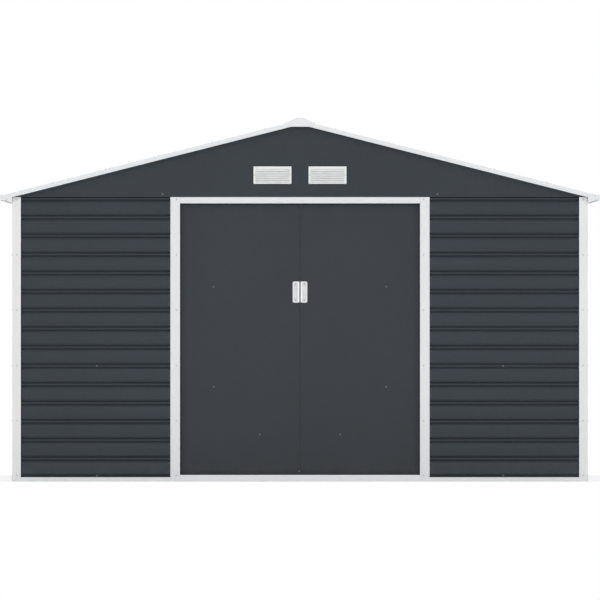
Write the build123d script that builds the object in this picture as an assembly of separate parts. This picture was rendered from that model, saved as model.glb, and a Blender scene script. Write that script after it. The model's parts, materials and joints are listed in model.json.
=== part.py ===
from build123d import *
import math
import os

# Metal storage shed with an apex roof and two sliding doors. Millimetres, +Z up.
# The origin is on the ground under the middle of the ridge, and the front faces -Y.
# "depth" below is the distance inwards from the outer plane of a wall.

# Overall size
roof_width = 3400.0
eave_overhang = 68.0
body_length = 3724.0
roof_overhang = 68.0
wall_top = 1611.0
gable_lap = 12.0
apex_height = 2047.4
roof_edge_rise = 24.0

# Sheet metal
sheet = 1.0
seat_gap = 0.3
running_gap = 5.0

# Base rails
rail_height = 23.5
rail_width = 34.0
rail_inner_height = 40.0
sill_height = 36.8
sill_lip = 12.0
sill_return = 6.0

# Corner posts, door jambs and door head
post_width = 50.0
trim_lip = 5.0
jamb_width = 55.0
doorway_width = 1360.0
head_height = 35.3
reveal_depth = 30.0
lip_drop = 2.0

# Ribbed wall sheets
wall_plane = 6.0
rib_pitch = 105.3
first_rib = 22.5
groove_half_width = 23.0
groove_floor_outer = 11.0
groove_floor_inner = 7.0
bead_half_width = 4.0
groove_depth = 12.0
bead_depth = 1.5
panel_lap = 24.0
corner_setback = 24.0
side_panel_count = 4
back_panel_count = 4

# Inner frame
middle_rail_rib = 6
middle_rail_size = 40.0
middle_rail_depth = 20.0
top_rail_drop = 21.0
top_rail_size = 42.0
top_rail_depth = 22.7

# Gable sheets and louvred vents
gable_plane = 2.8
vent_width = 215.0
vent_height = 98.8
vent_middle_x = 156.0
vent_rise = 124.6
vent_border = 11.0
vent_stand_out = 8.0
vent_flange = 9.0
slat_count = 7
slat_pitch = 12.5
slat_rise = 11.0

# Roof sheets
roof_panel_count = 5
roof_ribs_per_panel = 4
roof_rib_height = 10.0
roof_rib_top = 18.0
roof_rib_foot = 34.0
ridge_gap = 8.0
roof_sheet_setback = 10.0

# Roof beams
beam_width = 60.0
beam_height = 45.0
purlin_width = 40.0
purlin_height = 40.0
purlins_per_side = 2
rafter_height = 30.0
rafter_depth = 30.0

# Ridge cap
cap_flat_half_width = 22.0
cap_rise = 12.0
cap_foot = 88.0
cap_end_half_width = 75.0
cap_end_bottom_half_width = 54.0
cap_end_bottom_drop = 37.9

# Roof edge trims
trim_height = 25.4
trim_flange = 28.0
trim_end_setback = 25.0
trim_end_lean = 9.0
trim_end_drop = 35.4
eave_foot_drop = 32.5
eave_leg_height = 26.0
eave_flange = 15.0

# Sliding doors
door_clearance = 4.0
door_fold = 20.0
door_lap = 22.0
door_lift = 6.0
door_top_drop = 8.0
brace_width = 46.0
brace_depth = 12.0
brace_wall = 1.0
cross_brace_z = 1103.0
diagonal_start = (489.0, 536.0)
diagonal_end = (228.0, 265.5)
diagonal_reach = 190.0
cover_overlap = 12.0

# Door handles
handle_width = 37.4
handle_height = 120.0
handle_middle_z = 1073.0
handle_inner_x = 4.0
handle_plate = 3.0
handle_corner = 9.0
grip_width = 10.0
grip_offset = 3.0
grip_height = 9.0

# Door tracks and runners
track_spare = 66.0
track_half_width = 22.0
track_drop = 17.0
track_height = 23.0
track_slot_half_width = 8.0
runner_length = 60.0
runner_headroom = 6.0
runner_neck = 4.0
runner_inset = 90.0
floor_track_width = 33.0
floor_track_leg = 8.0
guide_thickness = 12.0

# Sizes that follow from the ones above
body_width = roof_width - 2 * eave_overhang
half_width = body_width / 2
half_length = body_length / 2
roof_slope = (apex_height - wall_top - roof_edge_rise) / half_width
roof_half_length = half_length + roof_overhang
roof_half_width = roof_width / 2
inner_plane = wall_plane + sheet + seat_gap
frame_plane = inner_plane + groove_depth + sheet
gable_back = gable_plane + sheet
lapped_offset = 2 * sheet + roof_rib_height
roof_sheet_edge = roof_half_width - roof_sheet_setback
doorway_top = wall_top - head_height
middle_rail_height = first_rib + middle_rail_rib * rib_pitch
vent_middle_z = wall_top + vent_rise
trim_end_x = roof_half_width - trim_end_setback
trim_end_foot_x = trim_end_x - trim_end_lean
trim_end_foot_z = apex_height - roof_slope * trim_end_foot_x - trim_end_drop
eave_foot_z = wall_top - eave_foot_drop
rail_back = frame_plane + top_rail_depth
frame_setback = rail_back + running_gap
jamb_lip_drop = inner_plane - 2 * sheet - seat_gap
door_plane = rail_back + door_clearance
door_bottom = floor_track_leg + door_lift
door_half_gap = running_gap / 2
door_outer_x = doorway_width / 2 + door_lap
door_travel = doorway_width / 2 - running_gap - handle_inner_x - handle_width
track_lip_z = wall_top - track_drop
track_middle_depth = rail_back + track_half_width
track_half_length = door_outer_x + door_travel + track_spare
door_top = track_lip_z - door_top_drop
runner_height = track_height - 2 * sheet - seat_gap - runner_headroom


def roof_line(x, below=0.0):
    """Height of the roof's top line at x, or so far below it."""
    return apex_height - roof_slope * abs(x) - below


def outline(points):
    """Flat face in the local XY plane from its corners in order."""
    return make_face(Polyline(*points, close=True))


def along_x(points, start, end):
    """Solid from corners in (y, z), run along X from start to end."""
    face = Plane.YZ.offset(start) * outline(points)
    return extrude(face, amount=end - start, dir=(1, 0, 0))


def along_y(points, start, end):
    """Solid from corners in (x, z), run along Y from start to end."""
    face = Plane.XZ.offset(-start) * outline(points)
    return extrude(face, amount=end - start, dir=(0, 1, 0))


def along_z(points, start, end):
    """Solid from corners in (x, y), run up from start to end."""
    face = Plane.XY.offset(start) * outline(points)
    return extrude(face, amount=end - start, dir=(0, 0, 1))


def bent_strip(path, thickness):
    """Corners of a bent strip: the path, and the path moved to its left by the thickness."""
    moved = []
    last = len(path) - 1
    for i, point in enumerate(path):
        before = path[max(i - 1, 0)]
        after = path[min(i + 1, last)]
        into = Vector(point[0] - before[0], point[1] - before[1]) if i > 0 else None
        out = Vector(after[0] - point[0], after[1] - point[1]) if i < last else None
        normals = [Vector(-v.Y, v.X).normalized() for v in (into, out) if v is not None]
        middle = (normals[0] + normals[-1]).normalized()
        reach = thickness / middle.dot(normals[0])
        moved.append((point[0] + middle.X * reach, point[1] + middle.Y * reach))
    return [*path, *reversed(moved)]


def box_between(low, high):
    """Box from its lowest and highest corners."""
    size = [b - a for a, b in zip(low, high)]
    middle = [(a + b) / 2 for a, b in zip(low, high)]
    return Pos(*middle) * Box(*size)


def front_to(side, solid):
    """Turns a piece of the front wall to another side of the shed."""
    turns = {"front": 0, "right": 90, "back": 180, "left": -90}
    return Rot(0, 0, turns[side]) * solid


def outer_y(side):
    """Y of a wall's outer plane while it is drawn as a front wall."""
    return -half_length if side in ("front", "back") else -half_width


def outer_x(side):
    """Half the length of a wall's outer plane."""
    return half_width if side in ("front", "back") else half_length


def mirrored(solid):
    """The same piece on the other side of the middle plane."""
    return mirror(solid, about=Plane.YZ)


def mitre(side, end):
    """Wedge that cuts a base rail at 45 degrees at its left or right end."""
    x = end * outer_x(side)
    y = outer_y(side)
    corners = [(x, y), (x, y + rail_width), (x - end * rail_width, y + rail_width)]
    return along_z(corners, -rail_width, 2 * rail_width)


def base_rail(side, start, end):
    """Channel that the wall stands in, drawn along the front."""
    y = outer_y(side)
    path = [
        (y, rail_height),
        (y, 0),
        (y + rail_width, 0),
        (y + rail_width, rail_inner_height),
    ]
    rail = along_x(bent_strip(path, sheet), start, end)
    if start <= -outer_x(side):
        rail -= mitre(side, -1)
    if end >= outer_x(side):
        rail -= mitre(side, 1)
    return rail


def door_sill():
    """Channel under the doors, with a rolled front lip."""
    y = -half_length
    path = [
        (y + sill_lip, sill_height - sill_return),
        (y + sill_lip, sill_height),
        (y, sill_height),
        (y, 0),
        (y + rail_width, 0),
        (y + rail_width, floor_track_leg),
    ]
    return along_x(bent_strip(path, sheet), -doorway_width / 2, doorway_width / 2)


def corner_post():
    """Angle round the front left corner, its edges standing clear of the wall sheets."""
    x = -half_width + sheet
    y = -half_length + sheet
    path = [(x, -half_length + post_width), (x, y), (-half_width + post_width, y)]
    strip = bent_strip(path, sheet)
    return along_z(strip, sheet, wall_top)


def door_jamb():
    """Left jamb: a face beside the doorway with a reveal towards the doors and an outer lip."""
    y = -half_length + sheet
    inner = -doorway_width / 2
    outer = inner - jamb_width
    path = [
        (inner, y + reveal_depth),
        (inner, y),
        (outer + trim_lip, y),
        (outer, y + jamb_lip_drop),
    ]
    strip = bent_strip(list(reversed(path)), sheet)
    jamb = along_z(strip, sheet, wall_top)
    notch_low = (outer, y - sheet + frame_plane, wall_top - top_rail_drop)
    notch_high = (inner + sheet, y + reveal_depth + sheet, wall_top + sheet)
    return jamb - box_between(notch_low, notch_high)


def door_head():
    """Trim over the doors with a folded lower lip and a reveal."""
    y = -half_length + sheet
    path = [
        (y + lip_drop, wall_top),
        (y, wall_top - trim_lip),
        (y, doorway_top),
        (y + reveal_depth, doorway_top),
    ]
    return along_x(bent_strip(path, sheet), -doorway_width / 2, doorway_width / 2)


def rib_points(plane, bottom, top):
    """Outer line of a ribbed wall sheet in (depth, height), from the bottom up."""
    floor = plane + groove_depth
    points = [(plane, bottom)]
    middle = first_rib
    while middle + groove_floor_outer < top:
        offsets = [
            (plane, -groove_half_width),
            (floor, -groove_floor_outer),
            (floor, -groove_floor_inner),
            (plane + bead_depth, -bead_half_width),
            (plane + bead_depth, bead_half_width),
            (floor, groove_floor_inner),
            (floor, groove_floor_outer),
            (plane, groove_half_width),
        ]
        heights = [(depth, middle + step) for depth, step in offsets]
        points += [(depth, z) for depth, z in heights if bottom < z < top]
        middle += rib_pitch
    points.append((plane, top))
    return points


def ribbed_sheet(side, start, end, plane):
    """One ribbed wall sheet, drawn along the front."""
    y = outer_y(side)
    front = [(y + depth, z) for depth, z in rib_points(plane, sheet, wall_top + gable_lap)]
    back = [(point[0] + sheet, point[1]) for point in front]
    return along_x([*front, *reversed(back)], start, end)


def wall_sheets(side, start, end, count):
    """Ribbed sheets side by side, each lapping over the next one."""
    pitch = (end - start) / count
    sheets = []
    for i in range(count):
        low = start + i * pitch - (panel_lap / 2 if i > 0 else 0)
        high = start + (i + 1) * pitch + (panel_lap / 2 if i < count - 1 else 0)
        plane = wall_plane if i % 2 == 1 else inner_plane
        sheets.append(front_to(side, ribbed_sheet(side, low, high, plane)))
    return Compound(children=sheets)


def middle_rail(side, start, end):
    """Flat channel behind the wall sheets at mid height."""
    y = outer_y(side) + frame_plane
    low = middle_rail_height - middle_rail_size / 2
    high = middle_rail_height + middle_rail_size / 2
    back = y + middle_rail_depth
    path = [(back, low), (y, low), (y, high), (back, high)]
    return front_to(side, along_x(bent_strip(list(reversed(path)), sheet), start, end))


def top_rail(side):
    """Channel along the top of a wall that carries the roof or the gable."""
    y = outer_y(side) + frame_plane
    back = y + top_rail_depth
    low = wall_top - top_rail_drop
    if side in ("left", "right"):
        front_top = roof_line(half_width - frame_plane, lapped_offset)
        back_top = roof_line(half_width - frame_plane - top_rail_depth, lapped_offset)
    else:
        front_top = low + top_rail_size
        back_top = front_top
    path = [(y, low), (back, low), (back, back_top), (y, front_top)]
    reach = outer_x(side) - frame_setback
    strip = bent_strip(path, sheet)
    return front_to(side, along_x(strip, -reach, reach))


def vent_window(side_x, grow=0.0):
    """Corners in (x, z) of a vent's outer frame, grown or shrunk."""
    x = vent_width / 2 + grow
    z = vent_height / 2 + grow
    return [
        (side_x - x, vent_middle_z - z),
        (side_x + x, vent_middle_z - z),
        (side_x + x, vent_middle_z + z),
        (side_x - x, vent_middle_z + z),
    ]


def gable_sheet():
    """Plain sheet that closes the front gable, with two vent openings."""
    low = wall_top + seat_gap
    x = half_width - wall_plane
    corners = [
        (-x, low),
        (x, low),
        (x, roof_line(x, lapped_offset)),
        (0, roof_line(0, lapped_offset)),
        (-x, roof_line(x, lapped_offset)),
    ]
    y = -half_length + gable_plane
    gable = along_y(corners, y, y + sheet)
    for side_x in (-vent_middle_x, vent_middle_x):
        gable -= along_y(vent_window(side_x, -vent_flange), y - sheet, y + 2 * sheet)
    return gable


def louvred_vent(side_x):
    """Vent with a raised frame and sloping slats, open between them."""
    front = -half_length + gable_plane - vent_stand_out
    back = -half_length + gable_plane
    frame = along_y(vent_window(side_x), front, back)
    frame -= along_y(vent_window(side_x, -vent_border), front - sheet, back + sheet)
    low = vent_middle_z - slat_pitch * slat_count / 2
    x = vent_width / 2 - vent_border
    for i in range(slat_count):
        z = low + i * slat_pitch
        path = [(front + sheet, z), (back - sheet / 2, z + slat_rise)]
        frame += along_x(bent_strip(path, sheet), side_x - x, side_x + x)
    return frame


def roof_sheet(start, end, raised):
    """One ribbed roof sheet on the right slope, from the ridge to the eave."""
    lift = sheet + seat_gap if raised else 0.0
    pitch = roof_length_pitch
    foot = roof_rib_foot / 2
    top = roof_rib_top / 2
    pan = sheet + roof_rib_height - lift
    crest = sheet - lift
    points = [(start - top, crest), (start + top, crest), (start + foot, pan)]
    for i in range(1, roof_ribs_per_panel):
        middle = start + i * pitch
        points += [
            (middle - foot, pan),
            (middle - top, crest),
            (middle + top, crest),
            (middle + foot, pan),
        ]
    points += [(end - foot, pan), (end - top, crest), (end + top, crest)]
    x = ridge_gap
    upper = [(y, roof_line(x, below)) for y, below in points]
    lower = [(y, roof_line(x, below + sheet)) for y, below in points]
    face = Plane.YZ.offset(x) * outline([*upper, *reversed(lower)])
    run = roof_sheet_edge - x
    length = run * math.hypot(1, roof_slope)
    return extrude(face, amount=length, dir=(1, 0, -roof_slope))


def roof_side():
    """All roof sheets of the right slope, the even ones lapping over the odd ones' ribs."""
    start = -roof_sheet_half_length + roof_rib_top / 2
    panel = roof_length_pitch * roof_ribs_per_panel
    sheets = []
    for i in range(roof_panel_count):
        low = start + i * panel
        sheets.append(roof_sheet(low, low + panel, i % 2 == 1))
    return Compound(children=sheets)


def roof_beam(x, width, height, reach):
    """Channel along Y under the roof, with its top at the roof's slope."""
    left = x - width / 2
    right = x + width / 2
    low = roof_line(x, lapped_offset) - height
    middle = [(x, roof_line(x, lapped_offset))] if x == 0 else []
    path = [
        (left, low),
        (left, roof_line(left, lapped_offset)),
        *middle,
        (right, roof_line(right, lapped_offset)),
        (right, low),
    ]
    return along_y(bent_strip(list(reversed(path)), sheet), -reach, reach)


def roof_beams():
    """Ridge beam between the gables, and purlins between the rafters."""
    beams = [roof_beam(0, beam_width, beam_height, half_length - gable_back)]
    span = half_width / (purlins_per_side + 1)
    reach = half_length - gable_back - rafter_depth
    for i in range(1, purlins_per_side + 1):
        for side in (-1, 1):
            beams.append(roof_beam(side * i * span, purlin_width, purlin_height, reach))
    return Compound(children=beams)


def rafter():
    """Sloping channel behind the front gable's right half."""
    start = beam_width / 2 + sheet
    top_rail_top = wall_top - top_rail_drop + top_rail_size
    end = (apex_height - lapped_offset - rafter_height - top_rail_top) / roof_slope
    y = -half_length + gable_back
    back = y + rafter_depth
    top = roof_line(start, lapped_offset)
    low = top - rafter_height
    path = [(back, low), (y, low), (y, top), (back, top)]
    face = Plane.YZ.offset(start) * outline(bent_strip(list(reversed(path)), sheet))
    length = (end - start) * math.hypot(1, roof_slope)
    return extrude(face, amount=length, dir=(1, 0, -roof_slope))


def gable_rafters():
    """Four rafters, two behind each gable."""
    front = [rafter(), mirrored(rafter())]
    back = [front_to("back", piece) for piece in front]
    return Compound(children=[*front, *back])


def ridge_cap():
    """Folded cap over the ridge, with a plate that closes each end."""
    top = apex_height + cap_rise
    foot_z = roof_line(cap_foot, -seat_gap)
    path = [
        (-cap_foot, foot_z),
        (-cap_flat_half_width, top - sheet),
        (cap_flat_half_width, top - sheet),
        (cap_foot, foot_z),
    ]
    cap = along_y(bent_strip(path, sheet), -roof_half_length, roof_half_length)
    cap_slope = (top - sheet - foot_z) / (cap_foot - cap_flat_half_width)
    end_top = top - sheet / 2
    side_z = end_top - cap_slope * (cap_end_half_width - cap_flat_half_width)
    bottom_z = apex_height - cap_end_bottom_drop
    end = [
        (-cap_flat_half_width, end_top),
        (-cap_end_half_width, side_z),
        (-cap_end_bottom_half_width, bottom_z),
        (cap_end_bottom_half_width, bottom_z),
        (cap_end_half_width, side_z),
        (cap_flat_half_width, end_top),
    ]
    cap += along_y(end, -roof_half_length, -roof_half_length + sheet)
    cap += along_y(end, roof_half_length - sheet, roof_half_length)
    return cap


def gable_trim():
    """Fascia along the right half of the front gable, boxed in at the eave."""
    y = -roof_half_length + sheet
    foot_x = half_width
    face = [
        (seat_gap, roof_line(seat_gap)),
        (trim_end_x, roof_line(trim_end_x)),
        (trim_end_foot_x, trim_end_foot_z),
        (foot_x, eave_foot_z),
        (foot_x, roof_line(foot_x, trim_height)),
        (seat_gap, roof_line(seat_gap, trim_height)),
    ]
    flange = [
        (seat_gap, roof_line(seat_gap)),
        (trim_end_x, roof_line(trim_end_x)),
        (trim_end_x, roof_line(trim_end_x, sheet)),
        (seat_gap, roof_line(seat_gap, sheet)),
    ]
    return along_y(face, y, y + sheet) + along_y(flange, y, y + trim_flange)


def eave_trim():
    """Box trim along the right eave, closed at both ends."""
    leg = half_width - sheet
    edge = roof_half_width
    lift = -(2 * sheet + seat_gap)
    inner = edge - eave_flange
    path = [
        (leg, eave_foot_z + eave_leg_height),
        (leg, eave_foot_z),
        (trim_end_foot_x, trim_end_foot_z),
        (edge, trim_end_foot_z),
        (edge, roof_line(edge, lift)),
        (inner, roof_line(inner, lift)),
    ]
    reach = roof_half_length - 2 * sheet
    trim = along_y(bent_strip(path, sheet), -reach, reach)
    closed = [
        (half_width, eave_foot_z),
        (trim_end_foot_x, trim_end_foot_z),
        (edge, trim_end_foot_z),
        (edge, roof_line(edge, lift)),
        (inner, roof_line(inner, lift)),
        (inner, roof_line(inner, sheet + seat_gap)),
        (half_width, roof_line(half_width, lapped_offset)),
    ]
    trim += along_y(closed, -reach, -reach + sheet)
    trim += along_y(closed, reach - sheet, reach)
    return trim


def door_leaf():
    """Left door: a sheet with a fold along each edge."""
    y = -half_length + door_plane
    back = y + door_fold
    leaf = box_between((-door_outer_x, y, door_bottom), (-door_half_gap, back, door_top))
    leaf -= box_between(
        (-door_outer_x + sheet, y + sheet, door_bottom + sheet),
        (-door_half_gap - sheet, back + sheet, door_top - sheet),
    )
    return leaf


def cover_strip():
    """Strip on the left door that closes the gap between the doors from behind."""
    fold = -half_length + door_plane + door_fold
    back = fold + running_gap + sheet
    edge = -door_half_gap
    web = box_between((edge - sheet, fold, door_bottom), (edge, back, door_top))
    tongue_end = door_half_gap + cover_overlap
    tongue = box_between((edge - sheet, back - sheet, door_bottom), (tongue_end, back, door_top))
    return web + tongue


def door_brace():
    """Left door's braces: one across at handle height and one sloping down to the middle."""
    y = -half_length + door_plane + sheet
    back = y + brace_depth
    left = -door_outer_x + sheet
    right = -door_half_gap - sheet
    low = cross_brace_z - brace_width / 2
    high = cross_brace_z + brace_width / 2
    across = box_between((left, y, low), (right, back, high))
    across -= box_between(
        (left - sheet, y + brace_wall, low + brace_wall),
        (right + sheet, back + sheet, high - brace_wall),
    )
    rise = diagonal_start[1] - diagonal_end[1]
    run = diagonal_start[0] - diagonal_end[0]
    angle = math.degrees(math.atan2(rise, run))
    length = math.hypot(rise, run) + 2 * diagonal_reach
    middle_x = -(diagonal_start[0] + diagonal_end[0]) / 2
    middle_z = (diagonal_start[1] + diagonal_end[1]) / 2
    bar = Box(length, brace_depth, brace_width)
    hollow = Box(length + sheet, brace_depth, brace_width - 2 * brace_wall)
    bar -= Pos(0, brace_wall, 0) * hollow
    sloping = Pos(middle_x, y + brace_depth / 2, middle_z) * Rot(0, angle, 0) * bar
    return Compound(children=[across, sloping])


def door_handle():
    """Left handle: a rounded plate with a raised grip beside the meeting edge."""
    y = -half_length + door_plane - handle_plate
    middle_x = -handle_inner_x - handle_width / 2
    plate = Box(handle_width, handle_plate, handle_height)
    outer = plate.edges().filter_by(Axis.Y).sort_by(Axis.X)[:2]
    plate = fillet(outer, handle_corner)
    plate = Pos(middle_x, y + handle_plate / 2, handle_middle_z) * plate
    inner = -handle_inner_x - grip_offset
    half = handle_height / 2 - grip_offset
    grip = box_between(
        (inner - grip_width, y - grip_height, handle_middle_z - half),
        (inner, y, handle_middle_z + half),
    )
    return plate + grip


def door_runners():
    """Two hangers in the top track and two guides in the floor track, for the left door."""
    y = -half_length + track_middle_depth
    pieces = []
    for x in (-door_outer_x + runner_inset, -door_half_gap - runner_inset):
        low = x - runner_length / 2
        high = x + runner_length / 2
        slot = track_half_width - sheet - running_gap
        floor = track_lip_z + sheet + seat_gap
        block = box_between((low, y - slot, floor), (high, y + slot, floor + runner_height))
        neck = box_between(
            (low, y - runner_neck / 2, door_top),
            (high, y + runner_neck / 2, floor),
        )
        pieces.append(block + neck)
        front = -half_length + door_plane + sheet + seat_gap
        pieces.append(
            box_between(
                (low, front, sheet + running_gap),
                (high, front + guide_thickness, door_bottom),
            )
        )
    return Compound(children=pieces)


def top_track():
    """Inverted channel with inward lips that the doors hang from."""
    y = -half_length + track_middle_depth
    low = track_lip_z
    high = low + track_height
    path = [
        (y - track_slot_half_width, low),
        (y - track_half_width, low),
        (y - track_half_width, high),
        (y + track_half_width, high),
        (y + track_half_width, low),
        (y + track_slot_half_width, low),
    ]
    strip = bent_strip(list(reversed(path)), sheet)
    return along_x(strip, -track_half_length, track_half_length)


def floor_track():
    """Shallow channel on the ground behind the sill that guides the doors' lower edge."""
    front = -half_length + rail_width
    back = front + floor_track_width
    path = [(front, floor_track_leg), (front, 0), (back, 0), (back, floor_track_leg)]
    return along_x(bent_strip(path, sheet), -track_half_length, track_half_length)


def middle_rails():
    """Middle rails behind the front, side and back walls."""
    inner = doorway_width / 2 + sheet
    front_reach = half_width - frame_setback
    side_reach = half_length - frame_setback
    right = middle_rail("front", inner, front_reach)
    rails = [
        right,
        mirrored(right),
        middle_rail("left", -side_reach, side_reach),
        middle_rail("right", -side_reach, side_reach),
        middle_rail("back", -front_reach, front_reach),
    ]
    return Compound(children=rails)


roof_sheet_half_length = roof_half_length - 3 * sheet - seat_gap
roof_span = 2 * roof_sheet_half_length - roof_rib_top
roof_length_pitch = roof_span / (roof_panel_count * roof_ribs_per_panel)
front_sheet_end = half_width - corner_setback
side_sheet_end = half_length - corner_setback
front_sheet_start = doorway_width / 2 + jamb_width / 2

front_wall = ribbed_sheet("front", front_sheet_start, front_sheet_end, inner_plane)
back_wall = wall_sheets("back", -front_sheet_end, front_sheet_end, back_panel_count)
front_rail = base_rail("front", doorway_width / 2, half_width)
post = corner_post()
back_post = mirror(post, about=Plane.XZ)
side_rail = base_rail("right", -half_length, half_length)
right_vent = louvred_vent(vent_middle_x)
left_vent = louvred_vent(-vent_middle_x)
right_roof = roof_side()
right_trim = gable_trim()
right_eave = eave_trim()

shed = {
    "base_rail_front_left": mirrored(front_rail),
    "base_rail_front_right": front_rail,
    "base_rail_left": front_to("left", side_rail),
    "base_rail_right": front_to("right", side_rail),
    "base_rail_back": front_to("back", base_rail("back", -half_width, half_width)),
    "door_sill": door_sill(),
    "corner_post_front_left": post,
    "corner_post_front_right": mirrored(post),
    "corner_post_back_left": back_post,
    "corner_post_back_right": mirrored(back_post),
    "door_jamb_left": door_jamb(),
    "door_jamb_right": mirrored(door_jamb()),
    "door_head": door_head(),
    "wall_front_left": mirrored(front_wall),
    "wall_front_right": front_wall,
    "wall_left": wall_sheets("left", -side_sheet_end, side_sheet_end, side_panel_count),
    "wall_right": wall_sheets("right", -side_sheet_end, side_sheet_end, side_panel_count),
    "wall_back": back_wall,
    "middle_rails": middle_rails(),
    "top_rails": Compound(children=[top_rail(s) for s in ("front", "right", "back", "left")]),
    "gable_front": gable_sheet(),
    "gable_back": front_to("back", gable_sheet()),
    "gable_rafters": gable_rafters(),
    "vent_front_left": left_vent,
    "vent_front_right": right_vent,
    "vent_back_left": front_to("back", right_vent),
    "vent_back_right": front_to("back", left_vent),
    "roof_beams": roof_beams(),
    "roof_left": mirrored(right_roof),
    "roof_right": right_roof,
    "ridge_cap": ridge_cap(),
    "gable_trim_front_left": mirrored(right_trim),
    "gable_trim_front_right": right_trim,
    "gable_trim_back_left": front_to("back", right_trim),
    "gable_trim_back_right": front_to("back", mirrored(right_trim)),
    "eave_trim_left": mirrored(right_eave),
    "eave_trim_right": right_eave,
    "door_track_top": top_track(),
    "door_track_floor": floor_track(),
    "left_door": door_leaf(),
    "door_cover_strip": cover_strip(),
    "right_door": mirrored(door_leaf()),
    "left_door_braces": door_brace(),
    "right_door_braces": mirrored(door_brace()),
    "left_door_handle": door_handle(),
    "right_door_handle": mirrored(door_handle()),
    "left_door_runners": door_runners(),
    "right_door_runners": mirrored(door_runners()),
}

os.makedirs("parts", exist_ok=True)
for name, shape in shed.items():
    export_step(shape, f"parts/{name}.step")
print("door travel", door_travel)
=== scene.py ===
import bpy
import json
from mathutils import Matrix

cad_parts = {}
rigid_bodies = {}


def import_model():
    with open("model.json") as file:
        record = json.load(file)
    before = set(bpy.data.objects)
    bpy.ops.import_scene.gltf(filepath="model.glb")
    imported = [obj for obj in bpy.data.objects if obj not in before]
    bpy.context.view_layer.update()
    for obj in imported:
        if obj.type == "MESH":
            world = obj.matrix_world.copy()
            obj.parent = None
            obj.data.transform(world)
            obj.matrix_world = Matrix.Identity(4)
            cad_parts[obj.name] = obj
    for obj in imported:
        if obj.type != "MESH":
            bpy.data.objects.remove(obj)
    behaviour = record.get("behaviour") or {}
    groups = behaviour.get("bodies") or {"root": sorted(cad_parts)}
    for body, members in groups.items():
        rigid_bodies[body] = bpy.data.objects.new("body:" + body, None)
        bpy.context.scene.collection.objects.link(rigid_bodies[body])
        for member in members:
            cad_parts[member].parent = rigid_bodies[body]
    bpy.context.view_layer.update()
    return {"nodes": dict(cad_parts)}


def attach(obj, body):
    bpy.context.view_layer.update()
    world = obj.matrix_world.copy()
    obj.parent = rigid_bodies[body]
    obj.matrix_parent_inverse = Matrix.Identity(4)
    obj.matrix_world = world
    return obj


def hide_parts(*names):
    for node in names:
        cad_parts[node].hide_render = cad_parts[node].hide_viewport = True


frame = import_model()

import json
import math

import bmesh
import bpy
from mathutils import Vector

# Metal storage shed, front towards -Y, origin on the ground under the ridge. Metres.
shed = {
    "halfWidth": 1.632,
    "halfLength": 1.862,
    "wallTop": 1.611,
    "apex": 2.0474,
    "slope": 0.252696,
    "roofHalfWidth": 1.700,
    "roofHalfLength": 1.930,
    "steel": 0.001,
}
quarter = math.pi / 2
sideTurns = {"front": 0, "right": quarter, "back": math.pi, "left": -quarter}
print("frame loaded")


def roofLine(x, below=0.0):
    return shed["apex"] - shed["slope"] * abs(x) - below


# Camera and light

cameraValues = {"lens": 1200, "sensor": 36, "photoWidth": 3.4, "eyeHeight": 1.028, "near": 1, "far": 400}


def placeCamera():
    data = bpy.data.cameras.new("camera")
    data.lens = cameraValues["lens"]
    data.sensor_width = cameraValues["sensor"]
    data.clip_start = cameraValues["near"]
    data.clip_end = cameraValues["far"]
    camera = bpy.data.objects.new("camera", data)
    bpy.context.scene.collection.objects.link(camera)
    distance = cameraValues["photoWidth"] * cameraValues["lens"] / cameraValues["sensor"]
    camera.location = (0, -shed["halfLength"] - distance, cameraValues["eyeHeight"])
    camera.rotation_euler = (quarter, 0, 0)
    bpy.context.scene.camera = camera


lampValues = [
    {"name": "frontLamp", "place": (0, -11, 2.2), "size": 9, "power": 620},
    {"name": "backLamp", "place": (0, 11, 3.4), "size": 7, "power": 420},
    {"name": "leftLamp", "place": (-11, 0, 3.4), "size": 7, "power": 380},
    {"name": "rightLamp", "place": (11, 0, 3.4), "size": 7, "power": 380},
    {"name": "topLamp", "place": (0, 0, 9), "size": 6, "power": 330},
]
lampTarget = Vector((0, 0, 1.0))


def placeLamps():
    for values in lampValues:
        data = bpy.data.lights.new(values["name"], "AREA")
        data.shape = "SQUARE"
        data.size = values["size"]
        data.energy = values["power"]
        lamp = bpy.data.objects.new(values["name"], data)
        lamp.location = values["place"]
        lamp.rotation_euler = (lampTarget - lamp.location).to_track_quat("-Z", "Y").to_euler()
        lamp.visible_camera = False
        lamp.visible_glossy = False
        bpy.context.scene.collection.objects.link(lamp)


placeCamera()
placeLamps()
bpy.context.scene.view_settings.view_transform = "Standard"
print("camera and lamps placed")

# Node helpers


def addNode(tree, kind, **settings):
    node = tree.nodes.new(kind)
    for name, value in settings.items():
        setattr(node, name, value)
    return node


def setInputs(node, **values):
    for name, value in values.items():
        node.inputs[name.replace("_", " ")].default_value = value
    return node


def mathNode(tree, operation, first, second=0.5, clamp=False):
    node = addNode(tree, "ShaderNodeMath", operation=operation, use_clamp=clamp)
    for socket, value in zip(node.inputs, (first, second)):
        if isinstance(value, bpy.types.NodeSocket):
            tree.links.new(value, socket)
        else:
            socket.default_value = value
    return node.outputs[0]


def rangeNode(tree, value, fromLow, fromHigh, toLow, toHigh):
    node = addNode(tree, "ShaderNodeMapRange")
    tree.links.new(value, node.inputs["Value"])
    setInputs(node, From_Min=fromLow, From_Max=fromHigh, To_Min=toLow, To_Max=toHigh)
    return node.outputs["Result"]


def mixColours(tree, share, first, second, blend="MIX"):
    node = addNode(tree, "ShaderNodeMix", data_type="RGBA", blend_type=blend)
    for socket, value in zip((node.inputs[0], node.inputs[6], node.inputs[7]), (share, first, second)):
        if isinstance(value, bpy.types.NodeSocket):
            tree.links.new(value, socket)
        else:
            socket.default_value = value
    return node.outputs[2]


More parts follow.
